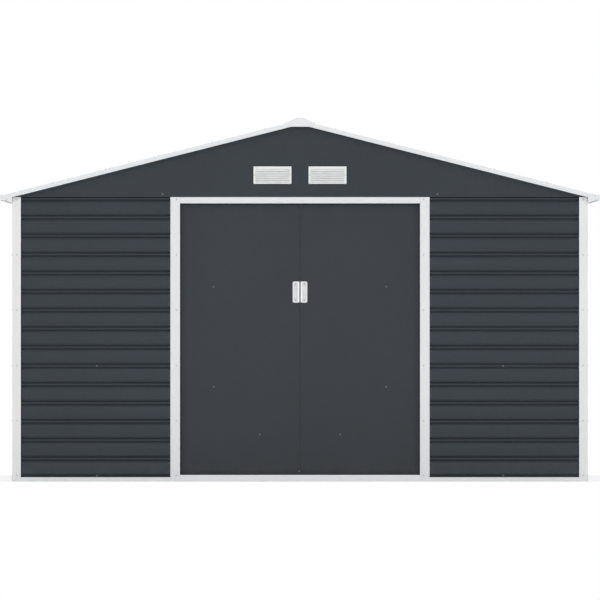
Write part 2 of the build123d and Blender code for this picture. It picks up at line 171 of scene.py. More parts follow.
def noiseNode(tree, vector, scale, detail=3.0, roughness=0.5, stretch=(1, 1, 1)):
    mapping = addNode(tree, "ShaderNodeMapping")
    mapping.inputs["Scale"].default_value = stretch
    tree.links.new(vector, mapping.inputs["Vector"])
    noise = addNode(tree, "ShaderNodeTexNoise")
    setInputs(noise, Scale=scale, Detail=detail, Roughness=roughness)
    tree.links.new(mapping.outputs[0], noise.inputs["Vector"])
    return noise.outputs["Fac"]


def newGroup(name, inputs, outputs):
    group = bpy.data.node_groups.new(name, "ShaderNodeTree")
    for label, kind, value in inputs:
        socket = group.interface.new_socket(name=label, in_out="INPUT", socket_type=kind)
        if value is not None:
            socket.default_value = value
    for label, kind in outputs:
        group.interface.new_socket(name=label, in_out="OUTPUT", socket_type=kind)
    start = addNode(group, "NodeGroupInput")
    end = addNode(group, "NodeGroupOutput")
    return group, start, end


def buildPaintSkin():
    # sprayed and baked paint: fine orange peel, and a slow drift in tone and gloss
    group, start, end = newGroup(
        "paintSkin",
        [("Vector", "NodeSocketVector", None), ("Drift", "NodeSocketFloat", 1.0)],
        [("Height", "NodeSocketFloat"), ("Tone", "NodeSocketFloat"), ("Gloss", "NodeSocketFloat")],
    )
    vector = start.outputs["Vector"]
    peel = noiseNode(group, vector, 520, 2.0)
    sag = noiseNode(group, vector, 3.2, 2.0)
    height = mathNode(group, "ADD", mathNode(group, "MULTIPLY", peel, 0.35), sag)
    broad = noiseNode(group, vector, 1.7, 3.0)
    fine = noiseNode(group, vector, 46, 4.0)
    tone = mathNode(group, "ADD", mathNode(group, "MULTIPLY", broad, 0.7), mathNode(group, "MULTIPLY", fine, 0.3))
    tone = mathNode(group, "MULTIPLY", rangeNode(group, tone, 0.35, 0.65, 0, 1), start.outputs["Drift"])
    group.links.new(height, end.inputs["Height"])
    group.links.new(tone, end.inputs["Tone"])
    group.links.new(rangeNode(group, fine, 0.3, 0.7, 0, 1), end.inputs["Gloss"])
    return group


def buildYardDust():
    # pale dust low on the walls and on faces that look up
    group, start, end = newGroup(
        "yardDust",
        [("Vector", "NodeSocketVector", None), ("Splash", "NodeSocketFloat", 0.12), ("Amount", "NodeSocketFloat", 0.1)],
        [("Mask", "NodeSocketFloat")],
    )
    vector = start.outputs["Vector"]
    parts = addNode(group, "ShaderNodeSeparateXYZ")
    group.links.new(vector, parts.inputs[0])
    patches = noiseNode(group, vector, 14, 5.0, 0.65)
    low = mathNode(group, "DIVIDE", parts.outputs["Z"], start.outputs["Splash"])
    low = mathNode(group, "SUBTRACT", 1.0, low, True)
    geometry = addNode(group, "ShaderNodeNewGeometry")
    normal = addNode(group, "ShaderNodeSeparateXYZ")
    group.links.new(geometry.outputs["Normal"], normal.inputs[0])
    up = rangeNode(group, normal.outputs["Z"], 0.4, 1.0, 0, 0.8)
    mask = mathNode(group, "MAXIMUM", low, up)
    mask = mathNode(group, "MULTIPLY", mask, rangeNode(group, patches, 0.35, 0.7, 0.2, 1))
    mask = mathNode(group, "MULTIPLY", mask, start.outputs["Amount"], True)
    group.links.new(mask, end.inputs["Mask"])
    return group


def buildZincSpangle():
    # crystals of hot-dip zinc
    group, start, end = newGroup(
        "zincSpangle",
        [("Vector", "NodeSocketVector", None), ("Scale", "NodeSocketFloat", 70.0)],
        [("Tone", "NodeSocketFloat"), ("Gloss", "NodeSocketFloat"), ("Height", "NodeSocketFloat")],
    )
    bend = addNode(group, "ShaderNodeTexNoise")
    setInputs(bend, Scale=30.0, Detail=3.0)
    group.links.new(start.outputs["Vector"], bend.inputs["Vector"])
    warped = addNode(group, "ShaderNodeVectorMath", operation="MULTIPLY_ADD")
    group.links.new(bend.outputs["Color"], warped.inputs[0])
    warped.inputs[1].default_value = (0.012, 0.012, 0.012)
    group.links.new(start.outputs["Vector"], warped.inputs[2])
    cells = addNode(group, "ShaderNodeTexVoronoi")
    group.links.new(warped.outputs[0], cells.inputs["Vector"])
    group.links.new(start.outputs["Scale"], cells.inputs["Scale"])
    split = addNode(group, "ShaderNodeSeparateColor")
    group.links.new(cells.outputs["Color"], split.inputs[0])
    group.links.new(split.outputs[0], end.inputs["Tone"])
    group.links.new(split.outputs[1], end.inputs["Gloss"])
    group.links.new(cells.outputs["Distance"], end.inputs["Height"])
    return group


paintSkin = buildPaintSkin()
yardDust = buildYardDust()
zincSpangle = buildZincSpangle()


def newMaterial(name):
    material = bpy.data.materials.new(name)
    material.use_nodes = True
    tree = material.node_tree
    shader = tree.nodes["Principled BSDF"]
    coordinates = addNode(tree, "ShaderNodeTexCoord")
    return material, tree, shader, coordinates.outputs["Object"]


def placeGroup(tree, group, vector, **values):
    node = addNode(tree, "ShaderNodeGroup", node_tree=group)
    tree.links.new(vector, node.inputs["Vector"])
    setInputs(node, **values)
    return node


def bumpFrom(tree, shader, height, strength, distance):
    bump = addNode(tree, "ShaderNodeBump")
    setInputs(bump, Strength=strength, Distance=distance)
    tree.links.new(height, bump.inputs["Height"])
    tree.links.new(bump.outputs["Normal"], shader.inputs["Normal"])


def paintMaterial(name, colour, roughness, specular, drift=0.08, dust=0.10, splash=0.12, peel=0.05):
    material, tree, shader, vector = newMaterial(name)
    skin = placeGroup(tree, paintSkin, vector, Drift=1.0)
    dusty = placeGroup(tree, yardDust, vector, Splash=splash, Amount=dust)
    full = (*colour, 1)
    deeper = (*[channel * (1 - drift) for channel in colour], 1)
    toned = mixColours(tree, skin.outputs["Tone"], full, deeper)
    toned = mixColours(tree, dusty.outputs["Mask"], toned, (0.30, 0.28, 0.25, 1))
    tree.links.new(toned, shader.inputs["Base Color"])
    gloss = rangeNode(tree, skin.outputs["Gloss"], 0, 1, roughness - 0.04, roughness + 0.05)
    gloss = mathNode(tree, "ADD", gloss, mathNode(tree, "MULTIPLY", dusty.outputs["Mask"], 0.5), True)
    tree.links.new(gloss, shader.inputs["Roughness"])
    shader.inputs["Specular IOR Level"].default_value = specular
    bumpFrom(tree, shader, skin.outputs["Height"], peel, 0.0006)
    return material


def plasticMaterial(name, colour, roughness, specular):
    material, tree, shader, vector = newMaterial(name)
    grain = noiseNode(tree, vector, 900, 2.0)
    patches = noiseNode(tree, vector, 24, 4.0, 0.6)
    full = (*colour, 1)
    worn = (*[channel * 0.94 for channel in colour], 1)
    tree.links.new(mixColours(tree, rangeNode(tree, patches, 0.4, 0.7, 0, 1), full, worn), shader.inputs["Base Color"])
    tree.links.new(rangeNode(tree, patches, 0.3, 0.7, roughness - 0.03, roughness + 0.06), shader.inputs["Roughness"])
    shader.inputs["Specular IOR Level"].default_value = specular
    bumpFrom(tree, shader, grain, 0.12, 0.0004)
    return material


def zincMaterial(name, bright, dull, roughness, scale):
    material, tree, shader, vector = newMaterial(name)
    crystals = placeGroup(tree, zincSpangle, vector, Scale=scale)
    stains = noiseNode(tree, vector, 9, 4.0, 0.6)
    tone = mixColours(tree, crystals.outputs["Tone"], (*dull, 1), (*bright, 1))
    tone = mixColours(tree, rangeNode(tree, stains, 0.5, 0.75, 0, 0.35), tone, (0.42, 0.42, 0.41, 1))
    tree.links.new(tone, shader.inputs["Base Color"])
    shader.inputs["Metallic"].default_value = 0.75
    gloss = rangeNode(tree, crystals.outputs["Gloss"], 0, 1, roughness - 0.08, roughness + 0.10)
    tree.links.new(gloss, shader.inputs["Roughness"])
    bumpFrom(tree, shader, crystals.outputs["Height"], 0.06, 0.0005)
    return material


wallPaint = paintMaterial("wallPaint", (0.0333, 0.0410, 0.0498), 0.50, 0.25)
gablePaint = paintMaterial("gablePaint", (0.0326, 0.0395, 0.0471), 0.50, 0.25)
doorPaint = paintMaterial("doorPaint", (0.0344, 0.0400, 0.0464), 0.48, 0.25)
roofPaint = paintMaterial("roofPaint", (0.0333, 0.0410, 0.0498), 0.46, 0.25, dust=0.16)
trimPaint = paintMaterial("trimPaint", (0.750, 0.765, 0.782), 0.42, 0.35, drift=0.03, dust=0.12, splash=0.05)
# the corner posts: a neutral copy of the trim paint, made a little brighter than it because the lamps light the corners
# less; painted light
postPaintWithPaintedLight = paintMaterial("postPaintWithPaintedLight", (0.773, 0.772, 0.773), 0.42, 0.35, drift=0.03, dust=0.12, splash=0.05)
railPaint = paintMaterial("railPaint", (0.774, 0.787, 0.803), 0.44, 0.35, drift=0.03, dust=0.10, splash=0.05)
ventPlastic = plasticMaterial("ventPlastic", (0.805, 0.820, 0.818), 0.38, 0.4)
handlePlastic = plasticMaterial("handlePlastic", (0.80, 0.82, 0.83), 0.34, 0.4)
runnerPlastic = plasticMaterial("runnerPlastic", (0.035, 0.036, 0.038), 0.5, 0.4)
frameZinc = zincMaterial("frameZinc", (0.66, 0.68, 0.70), (0.48, 0.50, 0.52), 0.42, 55.0)
screwZinc = zincMaterial("screwZinc", (0.52, 0.53, 0.54), (0.36, 0.37, 0.38), 0.34, 900.0)
wallScrew = paintMaterial("wallScrew", (0.15, 0.155, 0.165), 0.40, 0.4, drift=0.03)
sealRubber = plasticMaterial("sealRubber", (0.050, 0.055, 0.062), 0.62, 0.3)
# the panel in the handle's recess: the handle plastic made darker, painted shade beside the grip
handleInsetPaintedShade = plasticMaterial("handleInsetPaintedShade", (0.69, 0.70, 0.71), 0.42, 0.4)
# the handle's grip: the handle plastic made brighter, a painted highlight along the raised lip
handleGripPaintedHighlight = plasticMaterial("handleGripPaintedHighlight", (0.93, 0.94, 0.945), 0.34, 0.4)
darkScrew = paintMaterial("darkScrew", (0.050, 0.054, 0.060), 0.40, 0.35)
paleScrew = paintMaterial("paleScrew", (0.60, 0.61, 0.62), 0.36, 0.4, drift=0.03)
print("materials built")

# Modelling helpers


def makeActive(obj):
    for other in bpy.context.view_layer.objects:
        other.select_set(False)
    obj.select_set(True)
    bpy.context.view_layer.objects.active = obj


def startEdit(obj):
    makeActive(obj)
    bpy.ops.object.mode_set(mode="EDIT")
    bpy.ops.mesh.select_mode(type="VERT")


def endEdit():
    bpy.ops.object.mode_set(mode="OBJECT")


def applyPlace(obj):
    makeActive(obj)
    bpy.ops.object.transform_apply(location=True, rotation=True, scale=True)


def clearPick(mesh):
    for part in (*mesh.verts, *mesh.edges, *mesh.faces):
        part.select_set(False)


def pickVerts(obj, test):
    mesh = bmesh.from_edit_mesh(obj.data)
    clearPick(mesh)
    for vert in mesh.verts:
        if test(vert.co):
            vert.select_set(True)
    mesh.select_flush(True)
    bmesh.update_edit_mesh(obj.data)


def pickFaces(obj, test):
    mesh = bmesh.from_edit_mesh(obj.data)
    clearPick(mesh)
    for face in mesh.faces:
        if test(face.calc_center_median(), face.normal):
            face.select_set(True)
    bmesh.update_edit_mesh(obj.data)


def pickEdges(obj, test):
    mesh = bmesh.from_edit_mesh(obj.data)
    clearPick(mesh)
    for edge in mesh.edges:
        if test(edge):
            edge.select_set(True)
    bmesh.update_edit_mesh(obj.data)


def sharpEdge(edge, angle=0.3):
    return len(edge.link_faces) == 2 and edge.calc_face_angle() > angle


def move(x=0.0, y=0.0, z=0.0):
    bpy.ops.transform.translate(value=(x, y, z))


def pull(x=0.0, y=0.0, z=0.0):
    bpy.ops.mesh.extrude_region_move(TRANSFORM_OT_translate={"value": (x, y, z)})


def bevelPicked(width, segments=3):
    bpy.ops.mesh.bevel(offset_type="OFFSET", offset=width, segments=segments, affect="EDGES", clamp_overlap=True)


def bisectAll(point, normal, clearOuter=False, clearInner=False):
    bpy.ops.mesh.select_all(action="SELECT")
    bpy.ops.mesh.bisect(plane_co=point, plane_no=normal, clear_outer=clearOuter, clear_inner=clearInner)


def faceOutwards(obj):
    startEdit(obj)
    bpy.ops.mesh.select_all(action="SELECT")
    bpy.ops.mesh.remove_doubles(threshold=0.00002)
    bpy.ops.mesh.normals_make_consistent(inside=False)
    endEdit()


def inSpace(axis, point, along):
    # a profile's corner put in space, for a run along the axis
    if axis == "x":
        return Vector((along, point[0], point[1]))
    if axis == "y":
        return Vector((point[0], along, point[1]))
    return Vector((point[0], point[1], along))


def startEdge(name, axis, point, low, high):
    # a plane cut back to the one edge that the profile is pulled from, left in edit mode
    length = high - low
    aside = Vector((0, 1, 0)) if axis == "x" else Vector((1, 0, 0))
    corner = inSpace(axis, point, (low + high) / 2)
    turn = (quarter, 0, 0) if axis == "z" else (0, 0, 0)
    bpy.ops.mesh.primitive_plane_add(size=length, location=corner + aside * length / 2, rotation=turn)
    obj = bpy.context.object
    obj.name = name
    obj.data.name = name
    applyPlace(obj)
    startEdit(obj)
    pickVerts(obj, lambda co: (co - corner).dot(aside) > length / 2)
    bpy.ops.mesh.delete(type="VERT")
    bpy.ops.mesh.select_all(action="SELECT")
    return obj


def pullProfile(name, axis, path, low, high):
    # a strip along the path, with its faces looking to the right of travel, left in edit mode
    obj = startEdge(name, axis, path[0], low, high)
    for before, after in zip(path, path[1:]):
        step = inSpace(axis, after, 0) - inSpace(axis, before, 0)
        pull(*step)
    mesh = bmesh.from_edit_mesh(obj.data)
    mesh.normal_update()
    first = path[1][0] - path[0][0], path[1][1] - path[0][1]
    right = inSpace(axis, (first[1], -first[0]), 0)
    middle = (inSpace(axis, path[0], 0) + inSpace(axis, path[1], 0)) / 2
    nearest = min(mesh.faces, key=lambda face: (inSpace(axis, flatten(axis, face.calc_center_median()), 0) - middle).length)
    if nearest.normal.dot(right) < 0:
        bpy.ops.mesh.select_all(action="SELECT")
        bpy.ops.mesh.flip_normals()
    return obj


def flatten(axis, point):
    if axis == "x":
        return point[1], point[2]
    if axis == "y":
        return point[0], point[2]
    return point[0], point[1]


def roundFolds(obj, width, segments=3, angle=0.3):
    pickEdges(obj, lambda edge: sharpEdge(edge, angle))
    bevelPicked(width, segments)


def thicken(obj, thickness=shed["steel"]):
    makeActive(obj)
    modifier = obj.modifiers.new("thickness", "SOLIDIFY")
    modifier.thickness = thickness
    modifier.offset = -1
    modifier.use_even_offset = True
    modifier.use_quality_normals = True
    bpy.ops.object.modifier_apply(modifier=modifier.name)


def foldedStrip(name, axis, path, low, high, fold=0.002, segments=3):
    obj = pullProfile(name, axis, path, low, high)
    if fold:
        roundFolds(obj, fold, segments)
    endEdit()
    thicken(obj)
    return obj


def copyPiece(obj, name, turn=0.0, shift=(0, 0, 0), mirrorX=False):
    copy = obj.copy()
    copy.data = obj.data.copy()
    copy.name = name
    copy.data.name = name
    bpy.context.scene.collection.objects.link(copy)
    copy.location = shift
    copy.rotation_euler = (0, 0, turn)
    if mirrorX:
        copy.scale.x = -1
    applyPlace(copy)
    if mirrorX:
        faceOutwards(copy)
    return copy


def joinPieces(pieces, name):
    makeActive(pieces[0])
    for piece in pieces:
        piece.select_set(True)
    if len(pieces) > 1:
        bpy.ops.object.join()
    pieces[0].name = name
    pieces[0].data.name = name
    return pieces[0]


def fit(obj, body, material, slot, *nodes, smooth=35):
    makeActive(obj)
    bpy.ops.object.shade_smooth_by_angle(angle=math.radians(smooth))
    obj.data.materials.clear()
    obj.data.materials.append(material)
    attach(obj, body)
    if nodes:
        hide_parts(*nodes)
    return obj


# Ribbed wall sheets

wallSheet = {
    "bottom": 0.001,
    "top": 1.623,
    "pitch": 0.1053,
    "firstRib": 0.0225,
    "ribCount": 16,
    "grooveHalf": 0.023,
    "floorHalf": 0.0082,
    "depth": 0.012,
    "curve": 1.25,
    "curveSteps": 8,
    "outerPlane": 0.006,
    "innerPlane": 0.0073,
    "lap": 0.024,
    "cornerSetback": 0.024,
    "beadPoints": [(-0.0066, 0.0114), (-0.0053, 0.0045), (-0.0043, 0.0020), (-0.0025, 0.0015), (0, 0.0014)],
    "tuckStart": 0.0312,
    "tuckEnd": 0.0280,
    "tuckDepth": 0.005,
    "tuckFlatten": 0.25,
}


def groovePath():
    # up one groove: a curve that steepens towards a narrow bead, then the same again upside down
    v = wallSheet
    half = []
    for i in range(v["curveSteps"] + 1):
        share = i / v["curveSteps"]
        half.append((-v["grooveHalf"] + (v["grooveHalf"] - v["floorHalf"]) * share, v["depth"] * share ** v["curve"]))
    half += v["beadPoints"]
    return half + [(-height, depth) for height, depth in reversed(half[:-1])]


def ribbedSheetMaster():
    # one metre wide, outer face at y 0
    v = wallSheet
    points = [(0, -v["pitch"] / 2)]
    points += [(depth, height) for height, depth in groovePath()]
    points.append((0, v["pitch"] / 2))
    path = [(depth, v["firstRib"] + height) for depth, height in reversed(points)]
    obj = pullProfile("ribbedSheetMaster", "x", path, -0.5, 0.5)
    endEdit()
    array = obj.modifiers.new("ribs", "ARRAY")
    array.count = v["ribCount"]
    array.use_relative_offset = False
    array.use_constant_offset = True
    array.constant_offset_displace = (0, 0, v["pitch"])
    array.use_merge_vertices = True
    array.merge_threshold = 0.00005
    bpy.ops.object.modifier_apply(modifier=array.name)
    startEdit(obj)
    bisectAll((0, 0, v["top"]), (0, 0, 1), clearOuter=True)
    bisectAll((0, 0, v["bottom"]), (0, 0, 1), clearInner=True)
    endEdit()
    thicken(obj)
    return obj


def wallPiece(master, name, side, start, end, plane, *nodes):
    sheetCopy = master.copy()
    sheetCopy.data = master.data.copy()
    sheetCopy.name = name
    sheetCopy.data.name = name
    bpy.context.scene.collection.objects.link(sheetCopy)
    outer = shed["halfLength"] if side in ("front", "back") else shed["halfWidth"]
    sheetCopy.scale.x = end - start
    sheetCopy.location = ((start + end) / 2, plane - outer, 0)
    applyPlace(sheetCopy)
    reach = (shed["halfWidth"] if side in ("front", "back") else shed["halfLength"]) - wallSheet["cornerSetback"]
    for edge in (start, end):
        if abs(abs(edge) - reach) < 0.0001:
            tuckEdge(sheetCopy, edge, plane - outer)
    sheetCopy.rotation_euler.z = sideTurns[side]
    applyPlace(sheetCopy)
    return fit(sheetCopy, "shed", wallPaint, "wall_paint", *nodes)


def tuckEdge(obj, edge, front):
    # the edge behind a corner post is pressed flatter and folded back, which leaves a dark line beside the post
    v = wallSheet
    side = math.copysign(1, edge)
    startEdit(obj)
    for inset in (v["tuckStart"], v["tuckEnd"]):
        bisectAll((edge - side * inset, 0, 0), (1, 0, 0))
    pickVerts(obj, lambda co: (co.x - edge) * side > -v["tuckEnd"] - 0.0001)
    bpy.ops.transform.resize(value=(1, v["tuckFlatten"], 1), center_override=(0, front, 0))
    move(y=v["tuckDepth"])
    endEdit()


def buildWalls():
    v = wallSheet
    master = ribbedSheetMaster()
    inner = 0.7075
    outer = shed["halfWidth"] - v["cornerSetback"]
    wallPiece(master, "wallSheetFrontRight", "front", inner, outer, v["innerPlane"], "wall_front_right")
    wallPiece(master, "wallSheetFrontLeft", "front", -outer, -inner, v["innerPlane"], "wall_front_left")
    for side, node in (("left", "wall_left"), ("right", "wall_right"), ("back", "wall_back")):
        reach = (shed["halfWidth"] if side == "back" else shed["halfLength"]) - v["cornerSetback"]
        pitch = reach / 2
        for i in range(4):
            low = -reach + i * pitch - (v["lap"] / 2 if i > 0 else 0)
            high = -reach + (i + 1) * pitch + (v["lap"] / 2 if i < 3 else 0)
            plane = v["outerPlane"] if i % 2 == 1 else v["innerPlane"]
            wallPiece(master, f"wallSheet{side.capitalize()}{i + 1}", side, low, high, plane, node)
    bpy.data.objects.remove(master)


buildWalls()
print("wall sheets built")

# Base rails and door sill

baseRail = {"height": 0.0235, "width": 0.034, "innerHeight": 0.040, "fold": 0.0022}


def buildBaseRails():
    v = baseRail
    for side, nodes in (
        ("front", ()),
        ("back", ("base_rail_back",)),
        ("left", ("base_rail_left",)),
        ("right", ("base_rail_right",)),
    ):
        outer = shed["halfLength"] if side in ("front", "back") else shed["halfWidth"]
        reach = shed["halfWidth"] if side in ("front", "back") else shed["halfLength"]
        y = -outer
        path = [(y, v["height"]), (y, 0), (y + v["width"], 0), (y + v["width"], v["innerHeight"])]
        start = 0.680 if side == "front" else -reach
        rail = pullProfile("baseRail" + side.capitalize(), "x", path, start, reach)
        ends = (1,) if side == "front" else (-1, 1)
        for end in ends:
            pickVerts(rail, lambda co: abs(co.x - end * reach) < 0.0001 and co.y > y + v["width"] / 2)
            move(x=-end * v["width"])
        roundFolds(rail, v["fold"])
        endEdit()
        thicken(rail)
        rail.rotation_euler.z = sideTurns[side]
        applyPlace(rail)
        if side == "front":
            left = copyPiece(rail, "baseRailFrontLeft", mirrorX=True)
            fit(left, "shed", railPaint, "trim_paint", "base_rail_front_left")
            rail.name = "baseRailFrontRight"
            nodes = ("base_rail_front_right",)
        fit(rail, "shed", railPaint, "trim_paint", *nodes)


doorSill = {"height": 0.0368, "lip": 0.012, "lipReturn": 0.006, "width": 0.034, "backLeg": 0.008, "fold": 0.0025}


def buildSill():
    v = doorSill
    y = -shed["halfLength"]
    path = [
        (y + v["lip"], v["height"] - v["lipReturn"]),
        (y + v["lip"], v["height"]),
        (y, v["height"]),
        (y, 0),
        (y + v["width"], 0),
        (y + v["width"], v["backLeg"]),
    ]
    sill = foldedStrip("doorSill", "x", path, -0.680, 0.680, v["fold"])
    fit(sill, "shed", railPaint, "trim_paint", "door_sill")


buildBaseRails()
buildSill()
print("base rails and sill built")

# Corner posts, door jambs and door head

cornerPost = {"width": 0.050, "fold": 0.0025, "bottom": 0.001}


def buildPosts():
    v = cornerPost
    x = -shed["halfWidth"] + shed["steel"]
    y = -shed["halfLength"] + shed["steel"]
    edgeX = -shed["halfWidth"] + v["width"]
    edgeY = -shed["halfLength"] + v["width"]
    path = [(x, edgeY), (x, y), (edgeX, y)]
    post = foldedStrip("cornerPostFrontLeft", "z", path, v["bottom"], shed["wallTop"], v["fold"])
    frontRight = copyPiece(post, "cornerPostFrontRight", mirrorX=True)
    backRight = copyPiece(post, "cornerPostBackRight", turn=math.pi)
    backLeft = copyPiece(frontRight, "cornerPostBackLeft", turn=math.pi)
    for piece, node in (
        (post, "corner_post_front_left"),
        (frontRight, "corner_post_front_right"),
        (backRight, "corner_post_back_right"),
        (backLeft, "corner_post_back_left"),
    ):
        fit(piece, "shed", postPaintWithPaintedLight, "trim_paint", node)


doorJamb = {
    "inner": -0.680,
    "width": 0.055,
    "lip": 0.005,
    "lipDrop": 0.005,
    "reveal": 0.030,
    "fold": 0.0025,
    "creaseX": -0.697,
    "creaseHalf": 0.0018,
    "creaseDepth": 0.0005,
    "notchDepth": 0.0203,
    "notchHeight": 0.021,
}


def buildJambs():
    v = doorJamb
    y = -shed["halfLength"] + shed["steel"]
    outer = v["inner"] - v["width"]
    path = [
        (outer, y + v["lipDrop"]),
        (outer + v["lip"], y),
        (v["creaseX"] - v["creaseHalf"], y),
        (v["creaseX"], y + v["creaseDepth"]),
        (v["creaseX"] + v["creaseHalf"], y),
        (v["inner"], y),
        (v["inner"], y + v["reveal"]),
    ]
    jamb = pullProfile("doorJambLeft", "z", path, 0.001, shed["wallTop"])
    notchTop = shed["wallTop"] - v["notchHeight"]
    bisectAll((0, 0, notchTop), (0, 0, 1))
    bisectAll((0, -shed["halfLength"] + v["notchDepth"], 0), (0, 1, 0))
    notchFront = -shed["halfLength"] + v["notchDepth"]
    pickFaces(jamb, lambda centre, normal: centre.z > notchTop and centre.y > notchFront)
    bpy.ops.mesh.delete(type="FACE")
    roundFolds(jamb, v["fold"], angle=0.7)
    endEdit()
    thicken(jamb)
    right = copyPiece(jamb, "doorJambRight", mirrorX=True)
    fit(jamb, "shed", trimPaint, "trim_paint", "door_jamb_left")
    fit(right, "shed", trimPaint, "trim_paint", "door_jamb_right")


doorHead = {"bottom": 1.5757, "lip": 0.005, "lipDrop": 0.002, "reveal": 0.030, "fold": 0.0010, "swageZ": 1.5903, "swageHalf": 0.0022, "swageDepth": 0.0022}


def buildHead():
    v = doorHead
    y = -shed["halfLength"] + shed["steel"]
    path = [
        (y + v["lipDrop"], shed["wallTop"]),
        (y, shed["wallTop"] - v["lip"]),
        (y + 0.0004, v["swageZ"] + v["swageHalf"]),
        (y + v["swageDepth"], v["swageZ"]),
        (y + 0.0006, v["swageZ"] - v["swageHalf"]),
        (y - 0.0004, v["bottom"] + 0.002),
        (y, v["bottom"]),
        (y + v["reveal"], v["bottom"]),
    ]
    head = foldedStrip("doorHead", "x", path, -0.680, 0.680, v["fold"])
    fit(head, "shed", trimPaint, "trim_paint", "door_head")


buildPosts()
buildJambs()
buildHead()
print("posts, jambs and head built")

# Gable sheets and vents

gableSheet = {"plane": 0.0028, "bottom": 1.6113, "inset": 0.006, "roofDrop": 0.012}
vent = {
    "width": 0.215,
    "height": 0.0988,
    "middleX": 0.156,
    "middleZ": 1.7356,
    "border": 0.011,
    "topDrop": 0.0038,
    "bottomDrop": 0.0045,
    "flange": 0.009,
    "standOut": 0.008,
    "rounding": 0.0016,
    "slatCount": 7,
    "lowestSlat": 1.6940,
    "slatPitch": 0.01275,
    "slatRise": 0.0115,
}


def buildGables():
    v = gableSheet
    y = -shed["halfLength"] + v["plane"]
    x = shed["halfWidth"] - v["inset"]
    gable = pullProfile("gableSheetFront", "x", [(y, shed["apex"]), (y, v["bottom"])], -x, x)
    hole = (vent["width"] / 2 - vent["flange"], vent["height"] / 2 - vent["flange"])
    for height in (-1, 1):
        bisectAll((0, 0, vent["middleZ"] + height * hole[1]), (0, 0, 1))
    for middle in (-vent["middleX"], vent["middleX"]):
        for side in (-1, 1):
            bisectAll((middle + side * hole[0], 0, 0), (1, 0, 0))
    pickFaces(
        gable,
        lambda centre, normal: abs(abs(centre.x) - vent["middleX"]) < hole[0]
        and abs(centre.z - vent["middleZ"]) < hole[1],
    )
    bpy.ops.mesh.delete(type="FACE")
    bisectAll((0, 0, 0), (1, 0, 0))
    for side in (-1, 1):
        top = (0, 0, roofLine(0, v["roofDrop"]))
        bisectAll(top, (side * shed["slope"], 0, 1), clearOuter=True)
    endEdit()
    thicken(gable)
    back = copyPiece(gable, "gableSheetBack", turn=math.pi)
    fit(gable, "shed", gablePaint, "wall_paint", "gable_front")
    fit(back, "shed", gablePaint, "wall_paint", "gable_back")


def ventFrame(middleX):
    v = vent
    front = -shed["halfLength"] + gableSheet["plane"] - v["standOut"]
    bpy.ops.mesh.primitive_plane_add(size=1, location=(middleX, front, v["middleZ"]), rotation=(quarter, 0, 0))
    obj = bpy.context.object
    obj.scale = (v["width"], v["height"], 1)
    applyPlace(obj)
    startEdit(obj)
    bpy.ops.mesh.select_all(action="SELECT")
    bpy.ops.mesh.inset(thickness=v["border"])
    pickFaces(obj, lambda c, n: abs(c.x - middleX) < 0.02 and abs(c.z - v["middleZ"]) < 0.01)
    bpy.ops.mesh.delete(type="FACE")
    for side, drop in ((1, v["topDrop"]), (-1, v["bottomDrop"])):
        inner = v["middleZ"] + side * (v["height"] / 2 - v["border"])
        pickVerts(obj, lambda co: abs(co.z - inner) < 0.0001)
        move(z=-drop)
    bpy.ops.mesh.select_all(action="SELECT")
    pull(y=v["standOut"])
    bpy.ops.mesh.select_all(action="SELECT")
    bpy.ops.mesh.normals_make_consistent(inside=False)
    pickEdges(obj, lambda edge: sharpEdge(edge) and all(vert.co.y < front + 0.0001 for vert in edge.verts))
    bevelPicked(v["rounding"], 3)
    endEdit()
    return obj


def ventSlat(middleX):
    v = vent
    front = -shed["halfLength"] + gableSheet["plane"] - v["standOut"]
    low = v["lowestSlat"]
    reach = v["width"] / 2 - v["border"] + 0.0005
    path = [
        (front + 0.0022, low - 0.0004),
        (front + 0.0010, low + 0.0008),
        (front + 0.0016, low + 0.0026),
        (front + 0.0040, low + 0.0075),
        (front + 0.0070, low + v["slatRise"]),
    ]
    slat = pullProfile("ventSlat", "x", list(reversed(path)), middleX - reach, middleX + reach)
    endEdit()
    thicken(slat)
    array = slat.modifiers.new("slats", "ARRAY")
    array.count = v["slatCount"]
    array.use_relative_offset = False
    array.use_constant_offset = True
    array.constant_offset_displace = (0, 0, v["slatPitch"])
    bpy.ops.object.modifier_apply(modifier=array.name)
    return slat


def buildVents():
    for middleX, name, node in (
        (-vent["middleX"], "FrontLeft", "vent_front_left"),
        (vent["middleX"], "FrontRight", "vent_front_right"),
    ):
        piece = joinPieces([ventFrame(middleX), ventSlat(middleX)], "vent" + name)
        other = "Right" if middleX < 0 else "Left"
        back = copyPiece(piece, "ventBack" + other, turn=math.pi)
        fit(piece, "shed", ventPlastic, "vent_plastic", node)
        fit(back, "shed", ventPlastic, "vent_plastic", "vent_back_" + other.lower())


buildGables()
buildVents()
print("gables and vents built")

# Roof sheets, ridge cap and roof trims

roofSheet = {
    "panels": 5,
    "ribsPerPanel": 4,
    "ribTop": 0.018,
    "ribFoot": 0.034,
    "ribHeight": 0.010,
    "ridgeGap": 0.008,
    "edge": 1.690,
    "halfLength": 1.9267,
    "lift": 0.0013,
    "fold": 0.003,
}


